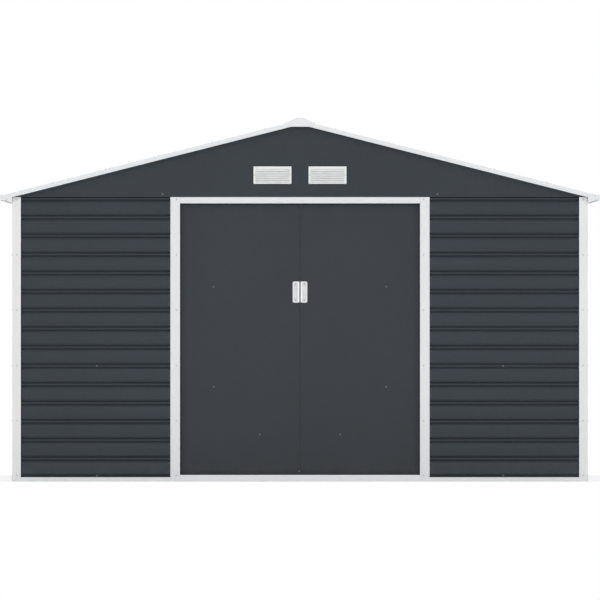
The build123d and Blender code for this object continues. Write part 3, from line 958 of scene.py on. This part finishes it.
def roofMaster(pitch):
    # one panel of the right slope, its first rib at y 0, upper face at the roof line
    v = roofSheet
    crest = roofLine(v["ridgeGap"], shed["steel"])
    pan = crest - v["ribHeight"]
    foot = v["ribFoot"] / 2
    top = v["ribTop"] / 2
    points = [(0, crest), (top, crest), (foot, pan), (pitch - foot, pan), (pitch - top, crest), (pitch, crest)]
    length = v["edge"] - v["ridgeGap"]
    drop = shed["slope"] * length
    obj = startEdge("roofSheetMaster", "x", points[0], v["ridgeGap"], v["edge"])
    pickVerts(obj, lambda co: co.x > 1)
    move(z=-drop)
    bpy.ops.mesh.select_all(action="SELECT")
    for before, after in zip(points, points[1:]):
        pull(y=after[0] - before[0], z=after[1] - before[1])
    roundFolds(obj, v["fold"])
    endEdit()
    array = obj.modifiers.new("ribs", "ARRAY")
    array.count = v["ribsPerPanel"]
    array.use_relative_offset = False
    array.use_constant_offset = True
    array.constant_offset_displace = (0, pitch, 0)
    array.use_merge_vertices = True
    array.merge_threshold = 0.00005
    bpy.ops.object.modifier_apply(modifier=array.name)
    startEdit(obj)
    pickVerts(obj, lambda co: abs(co.y) < 0.0001)
    pull(y=-top)
    pickVerts(obj, lambda co: abs(co.y - pitch * v["ribsPerPanel"]) < 0.0001)
    pull(y=top)
    bpy.ops.mesh.select_all(action="SELECT")
    bpy.ops.mesh.normals_make_consistent(inside=False)
    mesh = bmesh.from_edit_mesh(obj.data)
    if sum(face.normal.z for face in mesh.faces) < 0:
        bpy.ops.mesh.flip_normals()
    endEdit()
    thicken(obj)
    return obj


def buildRoof():
    v = roofSheet
    pitch = (2 * v["halfLength"] - v["ribTop"]) / (v["panels"] * v["ribsPerPanel"])
    master = roofMaster(pitch)
    start = -v["halfLength"] + v["ribTop"] / 2
    for i in range(v["panels"]):
        lift = v["lift"] if i % 2 == 1 else 0
        shift = (0, start + i * pitch * v["ribsPerPanel"], lift)
        right = copyPiece(master, f"roofSheetRight{i + 1}", shift=shift)
        left = copyPiece(right, f"roofSheetLeft{v['panels'] - i}", turn=math.pi)
        fit(right, "shed", roofPaint, "roof_paint", "roof_right")
        fit(left, "shed", roofPaint, "roof_paint", "roof_left")
    bpy.data.objects.remove(master)


ridgeCap = {
    "flatHalf": 0.022,
    "foot": 0.088,
    "top": 2.0594,
    "seat": 0.0003,
    "fold": 0.004,
    "endHalf": 0.086,
    "hemHalf": 0.0645,
    "endBottomHalf": 0.054,
    "endBottom": 2.0095,
    "endLip": 0.007,
    "hemTop": 2.0205,
    "hemDepth": 0.0014,
}


def buildRidge():
    v = ridgeCap
    steel = shed["steel"]
    foot = (v["foot"], roofLine(v["foot"], -v["seat"]) + steel)
    flat = (v["flatHalf"], v["top"])
    right = [flat, foot]
    path = [*[(x, z) for x, z in right[::-1]], *[(-x, z) for x, z in right]]
    reach = shed["roofHalfLength"]
    cap = foldedStrip("ridgeCap", "y", path, -reach, reach, v["fold"], 4)
    bottom = v["endBottom"]
    slope = (flat[1] - foot[1]) / (foot[0] - flat[0])
    top = v["top"] - 0.0004
    sideZ = top - slope * (v["endHalf"] - v["flatHalf"])
    half = v["endBottomHalf"]
    front = -reach + 0.0001
    path = [
        (front + v["endLip"], bottom),
        (front, bottom),
        (front + v["hemDepth"], v["hemTop"]),
        (front, sideZ),
        (front, top),
    ]
    plate = pullProfile("ridgeCapEnd", "x", list(reversed(path)), -half, half)
    for height, width in ((v["hemTop"], v["hemHalf"]), (sideZ, v["endHalf"]), (top, v["flatHalf"])):
        for side in (-1, 1):
            pickVerts(plate, lambda co: abs(co.z - height) < 0.0001 and co.x * side > 0)
            move(x=side * (width - half))
    roundFolds(plate, 0.0015, angle=0.8)
    endEdit()
    thicken(plate)
    back = copyPiece(plate, "ridgeCapEndBack", turn=math.pi)
    cap = joinPieces([cap, plate, back], "ridgeCap")
    fit(cap, "shed", trimPaint, "trim_paint", "ridge_cap")


gableTrim = {
    "height": 0.0254,
    "hem": 0.0075,
    "hemLean": 0.0048,
    "flange": 0.028,
    "seam": 0.0003,
    "endX": 1.675,
    "endFoot": (1.666, 1.591),
    "wallFoot": (1.632, 1.5785),
    "hemFade": 0.0008,
    "fold": 0.0022,
    "returnLift": 0.0012,
    "returnBack": -1.8613,
    "returnEnd": 1.6315,
}


def trimReturn():
    # closes the overhang from below, back to the wall
    v = gableTrim
    start = (-shed["roofHalfLength"] + shed["steel"] + v["hemLean"], roofLine(v["seam"], v["height"] - v["returnLift"]))
    obj = startEdge("gableTrimReturn", "x", start, v["seam"], v["returnEnd"])
    pickVerts(obj, lambda co: co.x > 1)
    move(z=-shed["slope"] * (v["returnEnd"] - v["seam"]))
    bpy.ops.mesh.select_all(action="SELECT")
    pull(y=v["returnBack"] - start[0])
    bpy.ops.mesh.select_all(action="SELECT")
    bpy.ops.mesh.normals_make_consistent(inside=False)
    mesh = bmesh.from_edit_mesh(obj.data)
    if sum(face.normal.z for face in mesh.faces) > 0:
        bpy.ops.mesh.flip_normals()
    endEdit()
    thicken(obj)
    return obj


def buildGableTrims():
    v = gableTrim
    y = -shed["roofHalfLength"] + shed["steel"]
    start = v["seam"]
    top = roofLine(start)
    path = [(y + v["flange"], top), (y, top), (y, top - v["height"])]
    footX, footZ = v["wallFoot"]
    hemEnd = footX - v["hemFade"]
    trim = startEdge("gableTrimFrontRight", "x", path[0], start, hemEnd)
    pickVerts(trim, lambda co: co.x > 1)
    move(z=-shed["slope"] * (hemEnd - start))
    bpy.ops.mesh.select_all(action="SELECT")
    pull(y=-v["flange"])
    pull(z=v["hem"] - v["height"])
    pull(y=v["hemLean"], z=-v["hem"])  # the lower edge leans back
    hemTop = v["height"] - v["hem"]
    for before, after in ((hemEnd, footX), (footX, v["endX"])):
        pickVerts(trim, lambda co: abs(co.x - before) < 0.0001)
        pull(x=after - before, z=-shed["slope"] * (after - before))
    pickVerts(trim, lambda co: co.x > footX - 0.0001 and co.z < roofLine(co.x, hemTop + 0.003))
    move(y=-v["hemLean"])
    pull(z=footZ - roofLine(footX, v["height"]))
    pickVerts(trim, lambda co: co.x > footX + 0.0001 and co.z < roofLine(co.x, hemTop + 0.003))
    bpy.ops.mesh.merge(type="CENTER")
    pickVerts(trim, lambda co: co.x > footX + 0.0001 and co.z < roofLine(co.x, hemTop + 0.003))
    mesh = bmesh.from_edit_mesh(trim.data)
    corner = next(vert.co for vert in mesh.verts if vert.select)
    move(x=v["endFoot"][0] - corner.x, z=v["endFoot"][1] - corner.z)
    pickVerts(trim, lambda co: abs(co.x - v["endX"]) < 0.0001 and co.z < roofLine(co.x, hemTop / 2))
    move(x=(v["endFoot"][0] - v["endX"]) / 2)
    bpy.ops.mesh.select_all(action="SELECT")
    bpy.ops.mesh.normals_make_consistent(inside=False)
    mesh = bmesh.from_edit_mesh(trim.data)
    if sum(face.normal.y * face.calc_area() for face in mesh.faces) > 0:
        bpy.ops.mesh.flip_normals()
    roundFolds(trim, v["fold"])
    endEdit()
    thicken(trim)
    trim = joinPieces([trim, trimReturn()], "gableTrimFrontRight")
    frontLeft = copyPiece(trim, "gableTrimFrontLeft", mirrorX=True)
    backLeft = copyPiece(trim, "gableTrimBackLeft", turn=math.pi)
    backRight = copyPiece(frontLeft, "gableTrimBackRight", turn=math.pi)
    for piece, node in (
        (trim, "gable_trim_front_right"),
        (frontLeft, "gable_trim_front_left"),
        (backLeft, "gable_trim_back_left"),
        (backRight, "gable_trim_back_right"),
    ):
        fit(piece, "shed", trimPaint, "trim_paint", node)


eaveTrim = {
    "legX": 1.631,
    "legTop": 1.6045,
    "footZ": 1.5803,
    "soffit": (1.666, 1.5928),
    "lift": 0.0023,
    "flange": 0.015,
    "reach": 1.928,
    "fold": 0.002,
    "plateInset": 0.0006,
}


def buildEaveTrims():
    v = eaveTrim
    edge = shed["roofHalfWidth"]
    inner = edge - v["flange"]
    path = [
        (v["legX"], v["legTop"]),
        (v["legX"], v["footZ"]),
        v["soffit"],
        (edge, v["soffit"][1]),
        (edge, roofLine(edge, -v["lift"])),
        (inner, roofLine(inner, -v["lift"])),
    ]
    trim = foldedStrip("eaveTrimRight", "y", path, -v["reach"], v["reach"], v["fold"])
    inset = v["plateInset"]
    bottom = v["soffit"][1] + inset
    columns = [
        (shed["halfWidth"], v["footZ"] + inset, roofLine(shed["halfWidth"], 0.012)),
        (v["soffit"][0], bottom, roofLine(v["soffit"][0], 0.004)),
        (inner, bottom, roofLine(inner, inset - v["lift"])),
        (edge - inset, bottom, roofLine(edge - inset, inset - v["lift"])),
    ]
    plates = []
    for end in (-1, 1):
        y = end * (v["reach"] - inset)
        plate = startEdge("eaveTrimEnd", "z", (columns[0][0], y), columns[0][1], columns[0][2])
        for before, after in zip(columns, columns[1:]):
            pull(x=after[0] - before[0])
            pickVerts(plate, lambda co: abs(co.x - after[0]) < 0.0001 and co.z < (before[1] + before[2]) / 2)
            move(z=after[1] - before[1])
            pickVerts(plate, lambda co: abs(co.x - after[0]) < 0.0001 and co.z > (after[1] + after[2]) / 2)
            move(z=after[2] - before[2])
            pickVerts(plate, lambda co: abs(co.x - after[0]) < 0.0001)
        bpy.ops.mesh.select_all(action="SELECT")
        bpy.ops.mesh.normals_make_consistent(inside=False)
        mesh = bmesh.from_edit_mesh(plate.data)
        if sum(face.normal.y for face in mesh.faces) * end < 0:
            bpy.ops.mesh.flip_normals()
        endEdit()
        thicken(plate)
        plates.append(plate)
    trim = joinPieces([trim, *plates], "eaveTrimRight")
    left = copyPiece(trim, "eaveTrimLeft", turn=math.pi)
    fit(trim, "shed", trimPaint, "trim_paint", "eave_trim_right")
    fit(left, "shed", trimPaint, "trim_paint", "eave_trim_left")


buildRoof()
buildRidge()
buildGableTrims()
buildEaveTrims()
print("roof built")

# Sliding doors and handles

doorLeaf = {
    "inner": -0.0025,
    "outer": -0.702,
    "bottom": 0.014,
    "top": 1.586,
    "depth": 0.047,
    "foldDepth": 0.020,
    "rounding": 0.003,
}


def buildDoors():
    v = doorLeaf
    y = -shed["halfLength"] + v["depth"]
    path = [(y, v["top"]), (y, v["bottom"])]
    door = pullProfile("leftDoorLeaf", "x", path, v["outer"], v["inner"])
    pickEdges(door, lambda edge: len(edge.link_faces) == 1)
    bpy.ops.mesh.extrude_edges_move(TRANSFORM_OT_translate={"value": (0, v["foldDepth"], 0)})
    bpy.ops.mesh.select_all(action="SELECT")
    bpy.ops.mesh.normals_make_consistent(inside=False)
    roundFolds(door, v["rounding"], 4)
    mesh = bmesh.from_edit_mesh(door.data)
    if max(mesh.faces, key=lambda face: face.calc_area()).normal.y > 0:
        bpy.ops.mesh.select_all(action="SELECT")
        bpy.ops.mesh.flip_normals()
    endEdit()
    thicken(door)
    right = copyPiece(door, "rightDoorLeaf", mirrorX=True)
    fit(door, "left_door", doorPaint, "door_paint", "left_door")
    fit(right, "right_door", doorPaint, "door_paint", "right_door")


doorSeal = {"width": 0.0022, "back": 0.007, "front": -0.0006, "rounding": 0.0006, "endInset": 0.004}


def buildSeals():
    # a slim strip on each meeting edge, so that the closed doors show only a hairline
    v = doorSeal
    y = -shed["halfLength"] + doorLeaf["depth"]
    edge = doorLeaf["inner"]
    path = [
        (edge - 0.0006, y + v["front"]),
        (edge + v["width"], y + v["front"]),
        (edge + v["width"], y + v["back"]),
        (edge, y + v["back"]),
    ]
    low = doorLeaf["bottom"] + v["endInset"]
    high = doorLeaf["top"] - v["endInset"]
    seal = pullProfile("leftDoorSeal", "z", path, low, high)
    roundFolds(seal, v["rounding"])
    endEdit()
    thicken(seal, 0.0006)
    right = copyPiece(seal, "rightDoorSeal", mirrorX=True)
    fit(seal, "left_door", sealRubber, "runner_plastic")
    fit(right, "right_door", sealRubber, "runner_plastic")


doorHandle = {
    "inner": -0.004,
    "width": 0.0374,
    "height": 0.120,
    "middleZ": 1.073,
    "plate": 0.003,
    "corner": 0.009,
    "rim": 0.0052,
    "recess": 0.0020,
    "insetSeat": 0.0008,
    "gripOffset": -0.0008,
    "gripWidth": 0.0118,
    "gripEnd": 0.003,
    "gripHeight": 0.009,
    "gripRounding": 0.0030,
    "screwX": 0.0252,
    "screwZ": (1.0295, 1.117),
}


def handlePlate():
    v = doorHandle
    back = -shed["halfLength"] + doorLeaf["depth"]
    middleX = v["inner"] - v["width"] / 2
    place = (middleX, back - v["plate"] / 2, v["middleZ"])
    bpy.ops.mesh.primitive_cube_add(size=1, location=place)
    plate = bpy.context.object
    plate.scale = (v["width"], v["plate"], v["height"])
    applyPlace(plate)
    startEdit(plate)
    pickEdges(
        plate,
        lambda edge: abs(edge.verts[0].co.y - edge.verts[1].co.y) > v["plate"] / 2
        and edge.verts[0].co.x < middleX,
    )
    bevelPicked(v["corner"], 6)
    pickFaces(plate, lambda centre, normal: normal.y < -0.9)
    bpy.ops.mesh.inset(thickness=v["rim"])
    front = back - v["plate"]
    reach = v["width"] / 3
    pickFaces(plate, lambda c, n: n.y < -0.9 and abs(c.x - middleX) < reach and abs(c.z - v["middleZ"]) < 0.002)
    pull(y=v["recess"])
    pickEdges(plate, lambda edge: sharpEdge(edge) and all(vert.co.y < front + 0.0001 for vert in edge.verts))
    bevelPicked(0.0008, 3)
    endEdit()
    return plate


def handleGrip():
    v = doorHandle
    front = -shed["halfLength"] + doorLeaf["depth"] - v["plate"]
    inner = v["inner"] - v["gripOffset"]
    half = v["height"] / 2 - v["gripEnd"]
    place = (inner - v["gripWidth"] / 2, front - v["gripHeight"] / 2, v["middleZ"])
    bpy.ops.mesh.primitive_cube_add(size=1, location=place)
    grip = bpy.context.object
    grip.scale = (v["gripWidth"], v["gripHeight"], 2 * half)
    applyPlace(grip)
    startEdit(grip)
    for height in (-0.7, -0.25, 0.25, 0.7):
        bisectAll((0, 0, v["middleZ"] + height * half), (0, 0, 1))
    pickVerts(grip, lambda co: co.y < front - 0.001 and abs(co.z - v["middleZ"]) > half * 0.9)
    move(y=0.0045)
    pickVerts(grip, lambda co: co.y < front - 0.001 and abs(co.x - (inner - v["gripWidth"])) < 0.0001)
    move(x=0.0012)
    bpy.ops.mesh.select_all(action="SELECT")
    bpy.ops.mesh.normals_make_consistent(inside=False)
    pickEdges(grip, lambda edge: sharpEdge(edge, 0.5) and all(vert.co.y < front - 0.0005 for vert in edge.verts))
    bevelPicked(v["gripRounding"] * 0.6, 3)
    endEdit()
    return grip


def handleInset():
    # a slightly dished panel that lies in the plate's recess
    v = doorHandle
    seat = -shed["halfLength"] + doorLeaf["depth"] - v["plate"] + v["recess"]
    middleX = v["inner"] - v["width"] / 2
    bpy.ops.mesh.primitive_plane_add(size=1, location=(middleX, seat - v["insetSeat"], v["middleZ"]), rotation=(quarter, 0, 0))
    panel = bpy.context.object
    panel.scale = (v["width"] - 2 * v["rim"] - 0.0004, v["height"] - 2 * v["rim"] - 0.0004, 1)
    applyPlace(panel)
    startEdit(panel)
    bpy.ops.mesh.select_all(action="SELECT")
    bpy.ops.mesh.inset(thickness=0.0025)
    pickFaces(panel, lambda c, n: abs(c.x - middleX) < 0.002 and abs(c.z - v["middleZ"]) < 0.002)
    move(y=v["insetSeat"] * 0.6)
    endEdit()
    thicken(panel, 0.0002)
    return panel


def buildHandles():
    plate = handlePlate()
    grip = handleGrip()
    inset = handleInset()
    inset.name = "leftDoorHandleInset"
    inset.data.name = "leftDoorHandleInset"
    plate.name = "leftDoorHandlePlate"
    grip.name = "leftDoorHandleGrip"
    rightPlate = copyPiece(plate, "rightDoorHandlePlate", mirrorX=True)
    rightGrip = copyPiece(grip, "rightDoorHandleGrip", mirrorX=True)
    rightInset = copyPiece(inset, "rightDoorHandleInset", mirrorX=True)
    fit(plate, "left_door", handlePlastic, "handle_plastic", "left_door_handle")
    fit(grip, "left_door", handleGripPaintedHighlight, "handle_plastic", "left_door_handle")
    fit(inset, "left_door", handleInsetPaintedShade, "handle_plastic", "left_door_handle")
    fit(rightPlate, "right_door", handlePlastic, "handle_plastic", "right_door_handle")
    fit(rightGrip, "right_door", handleGripPaintedHighlight, "handle_plastic", "right_door_handle")
    fit(rightInset, "right_door", handleInsetPaintedShade, "handle_plastic", "right_door_handle")


buildDoors()
buildSeals()
buildHandles()
print("doors and handles built")

# Screws

screwValues = {"sides": 12, "washer": 0.0052, "washerHeight": 0.0009, "head": 0.0036, "headHeight": 0.0019, "recess": 0.0016}


def screwMaster():
    # a pan head on a washer, looking along -y, with its seat at the origin
    v = screwValues
    bpy.ops.mesh.primitive_circle_add(vertices=v["sides"], radius=v["washer"], fill_type="NGON", rotation=(quarter, 0, 0))
    screw = bpy.context.object
    screw.name = "screwMaster"
    applyPlace(screw)
    startEdit(screw)
    bpy.ops.mesh.select_all(action="SELECT")
    pull(y=-v["washerHeight"])
    bpy.ops.mesh.inset(thickness=v["washer"] - v["head"])
    pull(y=-v["headHeight"])
    bpy.ops.mesh.inset(thickness=v["head"] * 0.3)
    move(y=-v["headHeight"] * 0.3)
    bpy.ops.mesh.inset(thickness=v["head"] * 0.3)
    pull(y=v["recess"])
    bpy.ops.mesh.select_all(action="SELECT")
    bpy.ops.mesh.normals_make_consistent(inside=False)
    endEdit()
    return screw


def screwSet(master, name, body, material, slot, places):
    # places hold a point and a turn about the vertical, and a tilt for the roof
    copies = []
    for i, (point, turn, tilt, size) in enumerate(places):
        copy = master.copy()
        copy.data = master.data.copy()
        copy.name = f"{name}{i}"
        bpy.context.scene.collection.objects.link(copy)
        copy.location = point
        copy.rotation_euler = (tilt, 0, turn)
        copy.scale = (size, size, size)
        copies.append(copy)
    obj = joinPieces(copies, name)
    applyPlace(obj)
    fit(obj, body, material, slot, smooth=40)


postScrewHeights = [0.034, 0.344, 0.656, 0.971, 1.284, 1.598]
screwPlaces = {"post": 1.604, "jamb": 0.700, "wall": 1.151, "gable": 0.779}
wallScrewHeights = [0.0315, 0.6543]
eaveDot = (-1.659, 1.5955)
eaveDotDepth = shed["halfLength"] - shed["roofHalfLength"] + shed["steel"] + 0.0003


def onWall(side, x, depth, z, size=1.0):
    outer = shed["halfLength"] if side in ("front", "back") else shed["halfWidth"]
    turn = sideTurns[side]
    y = depth - outer
    point = (x * math.cos(turn) - y * math.sin(turn), x * math.sin(turn) + y * math.cos(turn), z)
    return point, turn, 0.0, size


roofScrewRows = [0.544, 1.088, 1.640]
ridgeScrewX = 0.078
trimScrewStep = 0.3


def onRoof(side, x, y, lift, size=1.0):
    # a point on a slope, lifted along the slope's own normal
    tilt = math.atan(shed["slope"])
    point = (side * (x + lift * math.sin(tilt)), y, roofLine(x) + lift * math.cos(tilt))
    return point, side * quarter, tilt - quarter, size


def roofScrewPlaces(side):
    # one in the pan beside every second rib, over each purlin and the eave rail
    v = roofSheet
    pitch = (2 * v["halfLength"] - v["ribTop"]) / (v["panels"] * v["ribsPerPanel"])
    start = -v["halfLength"] + v["ribTop"] / 2
    places = []
    for x in roofScrewRows:
        for n in range(0, v["panels"] * v["ribsPerPanel"], 2):
            panel = n // v["ribsPerPanel"]
            raised = panel % 2 == 1 if side > 0 else (v["panels"] - 1 - panel) % 2 == 1
            depth = shed["steel"] + v["ribHeight"] - (v["lift"] if raised else 0)
            places.append(onRoof(side, x, start + (n + 0.5) * pitch, -depth * math.cos(math.atan(shed["slope"]))))
    return places


def buildRoofScrews(master):
    for side, name in ((-1, "Left"), (1, "Right")):
        screwSet(master, "roofScrews" + name, "shed", darkScrew, "roof_paint", roofScrewPlaces(side))
    v = ridgeCap
    slope = (v["top"] - roofLine(v["foot"], -v["seat"]) - shed["steel"]) / (v["foot"] - v["flatHalf"])
    capTilt = math.atan(slope)
    places = []
    for n in range(-6, 7):
        for side in (-1, 1):
            z = v["top"] - slope * (ridgeScrewX - v["flatHalf"])
            places.append(((side * ridgeScrewX, n * trimScrewStep, z), side * quarter, capTilt - quarter, 1.0))
    screwSet(master, "ridgeScrews", "shed", paleScrew, "trim_paint", places)
    places = []
    for end in (-1, 1):
        for side in (-1, 1):
            for n in range(5):
                x = 0.2 + n * trimScrewStep
                places.append(onRoof(side, x, end * (shed["roofHalfLength"] - 0.016), 0.0001, 0.9))
    screwSet(master, "gableTrimScrews", "shed", paleScrew, "trim_paint", places)
    places = []
    for side in (-1, 1):
        for n in range(-6, 7):
            x = shed["roofHalfWidth"] - eaveTrim["flange"] / 2
            places.append(onRoof(side, x, n * trimScrewStep, eaveTrim["lift"] * 0.97, 0.9))
    screwSet(master, "eaveTrimScrews", "shed", paleScrew, "trim_paint", places)


def buildScrews():
    master = screwMaster()
    buildRoofScrews(master)
    # a tiny dark screw head on the left eave end only, set where a spot of shade lies in the corner under the eave box:
    # painted shade
    places = [onWall("front", eaveDot[0], eaveDotDepth, eaveDot[1], 0.35)]
    screwSet(master, "eaveShadeDot", "shed", darkScrew, "trim_paint", places)
    places = [onWall("front", -0.0045, doorLeaf["depth"], 0.0575, 0.45)]
    screwSet(master, "leftDoorEdgeRivet", "left_door", paleScrew, "door_paint", places)
    postInset = shed["halfWidth"] - screwPlaces["post"]
    for side in sideTurns:
        reach = shed["halfWidth"] if side in ("front", "back") else shed["halfLength"]
        places = []
        for x in (-reach + postInset, reach - postInset):
            places += [onWall(side, x, shed["steel"], z) for z in postScrewHeights]
        screwSet(master, f"postScrews{side.capitalize()}", "shed", paleScrew, "trim_paint", places)
    places = []
    for x in (-screwPlaces["jamb"], screwPlaces["jamb"]):
        places += [onWall("front", x, shed["steel"], z) for z in postScrewHeights]
    screwSet(master, "jambScrews", "shed", paleScrew, "trim_paint", places)
    bead = wallSheet["innerPlane"] + 0.0012
    places = [onWall("front", side * screwPlaces["wall"], bead, z) for side in (-1, 1) for z in wallScrewHeights]
    screwSet(master, "wallScrewsFront", "shed", wallScrew, "wall_paint", places)
    for name, side in (("Front", "front"), ("Back", "back")):
        places = [onWall(side, end * screwPlaces["gable"], gableSheet["plane"], 1.629) for end in (-1, 1)]
        screwSet(master, "gableScrews" + name, "shed", wallScrew, "wall_paint", places)
    for name, turn in (("Front", "front"), ("Back", "back")):
        places = []
        for middle in (-vent["middleX"], vent["middleX"]):
            for end in (-1, 1):
                x = middle + end * (vent["width"] / 2 - vent["border"] / 2)
                places.append(onWall(turn, x, gableSheet["plane"] - vent["standOut"], vent["middleZ"], 0.7))
        screwSet(master, "ventScrews" + name, "shed", paleScrew, "vent_plastic", places)
    for side in ("left", "right", "back"):
        reach = (shed["halfWidth"] if side == "back" else shed["halfLength"]) - wallSheet["cornerSetback"]
        places = []
        for i in (-1, 0, 1):
            lapHeights = [wallSheet["firstRib"] + (n + 0.5) * wallSheet["pitch"] for n in (0, 3, 6, 9, 12, 14)]
            places += [onWall(side, i * reach / 2, wallSheet["outerPlane"], z) for z in lapHeights]
        for i in (-3, -1, 1, 3):
            plane = wallSheet["outerPlane"] if i in (-1, 3) else wallSheet["innerPlane"]
            places += [onWall(side, i * reach / 4, plane + 0.0012, z) for z in wallScrewHeights]
        screwSet(master, f"wallScrews{side.capitalize()}", "shed", wallScrew, "wall_paint", places)
    for body, mirror, name in (("left_door", -1, "left"), ("right_door", 1, "right")):
        depth = doorLeaf["depth"]
        spots = [(0.489, 1.103), (0.489, 0.536), (0.228, 0.2655)]
        places = [onWall("front", mirror * x, depth, z, 0.9) for x, z in spots]
        screwSet(master, name + "DoorScrews", body, wallScrew, "door_paint", places)
        plane = depth - doorHandle["plate"] + doorHandle["recess"] - doorHandle["insetSeat"] * 0.4
        places = [onWall("front", mirror * doorHandle["screwX"], plane, z, 0.95) for z in doorHandle["screwZ"]]
        screwSet(master, name + "HandleScrews", body, screwZinc, "handle_plastic", places)
    bpy.data.objects.remove(master)


buildScrews()
print("screws built")

# CAD nodes that keep their own shape

for names, material in (
    (("middle_rails", "top_rails", "gable_rafters", "roof_beams"), frameZinc),
    (("door_track_top", "door_track_floor"), frameZinc),
    (("left_door_braces", "right_door_braces"), frameZinc),
    (("door_cover_strip",), doorPaint),
    (("left_door_runners", "right_door_runners"), runnerPlastic),
):
    for name in names:
        node = frame["nodes"][name]
        node.data.materials.clear()
        node.data.materials.append(material)

# Floor and background

floorValues = {"size": 500, "colour": (0.93, 0.93, 0.93, 1), "shadowShare": 0.22, "shadowReach": 0.6}


def buildFloor():
    v = floorValues
    bpy.ops.mesh.primitive_plane_add(size=v["size"], location=(0, 0, -0.0005))
    floor = bpy.context.object
    floor.name = "floor"
    applyPlace(floor)
    material = bpy.data.materials.new("floorCard")
    material.use_nodes = True
    tree = material.node_tree
    shader = tree.nodes["Principled BSDF"]
    shader.inputs["Base Color"].default_value = v["colour"]
    shader.inputs["Roughness"].default_value = 0.9
    shader.inputs["Specular IOR Level"].default_value = 0.0
    glow = addNode(tree, "ShaderNodeEmission")
    glow.inputs["Strength"].default_value = 1.0
    path = addNode(tree, "ShaderNodeLightPath")
    seen = mathNode(tree, "MAXIMUM", path.outputs["Is Camera Ray"], path.outputs["Is Glossy Ray"])
    seen = mathNode(tree, "MAXIMUM", seen, path.outputs["Is Transmission Ray"])
    coordinates = addNode(tree, "ShaderNodeTexCoord")
    parts = addNode(tree, "ShaderNodeSeparateXYZ")
    tree.links.new(coordinates.outputs["Object"], parts.inputs[0])
    besides = mathNode(tree, "SUBTRACT", mathNode(tree, "ABSOLUTE", parts.outputs["X"]), shed["halfWidth"])
    ahead = mathNode(tree, "SUBTRACT", mathNode(tree, "ABSOLUTE", parts.outputs["Y"]), shed["halfLength"])
    away = mathNode(tree, "MAXIMUM", besides, ahead)  # metres from the shed's footprint
    far = rangeNode(tree, away, 0, v["shadowReach"], 1 - v["shadowShare"], 1)
    mix = addNode(tree, "ShaderNodeMixShader")
    tree.links.new(mathNode(tree, "MULTIPLY", seen, far), mix.inputs[0])
    tree.links.new(shader.outputs[0], mix.inputs[1])
    tree.links.new(glow.outputs[0], mix.inputs[2])
    tree.links.new(mix.outputs[0], tree.nodes["Material Output"].inputs["Surface"])
    floor.data.materials.append(material)


worldValues = {"ambient": 0.38, "colour": (1.0, 1.0, 1.0, 1)}


def buildWorld():
    world = bpy.data.worlds.new("studio")
    world.use_nodes = True
    bpy.context.scene.world = world
    tree = world.node_tree
    background = tree.nodes["Background"]
    background.inputs["Color"].default_value = worldValues["colour"]
    path = addNode(tree, "ShaderNodeLightPath")
    seen = mathNode(tree, "MAXIMUM", path.outputs["Is Camera Ray"], path.outputs["Is Glossy Ray"])
    seen = mathNode(tree, "MAXIMUM", seen, path.outputs["Is Transmission Ray"])
    strength = rangeNode(tree, seen, 0, 1, worldValues["ambient"], 1)
    tree.links.new(strength, background.inputs["Strength"])


buildFloor()
buildWorld()
print("floor and background built")
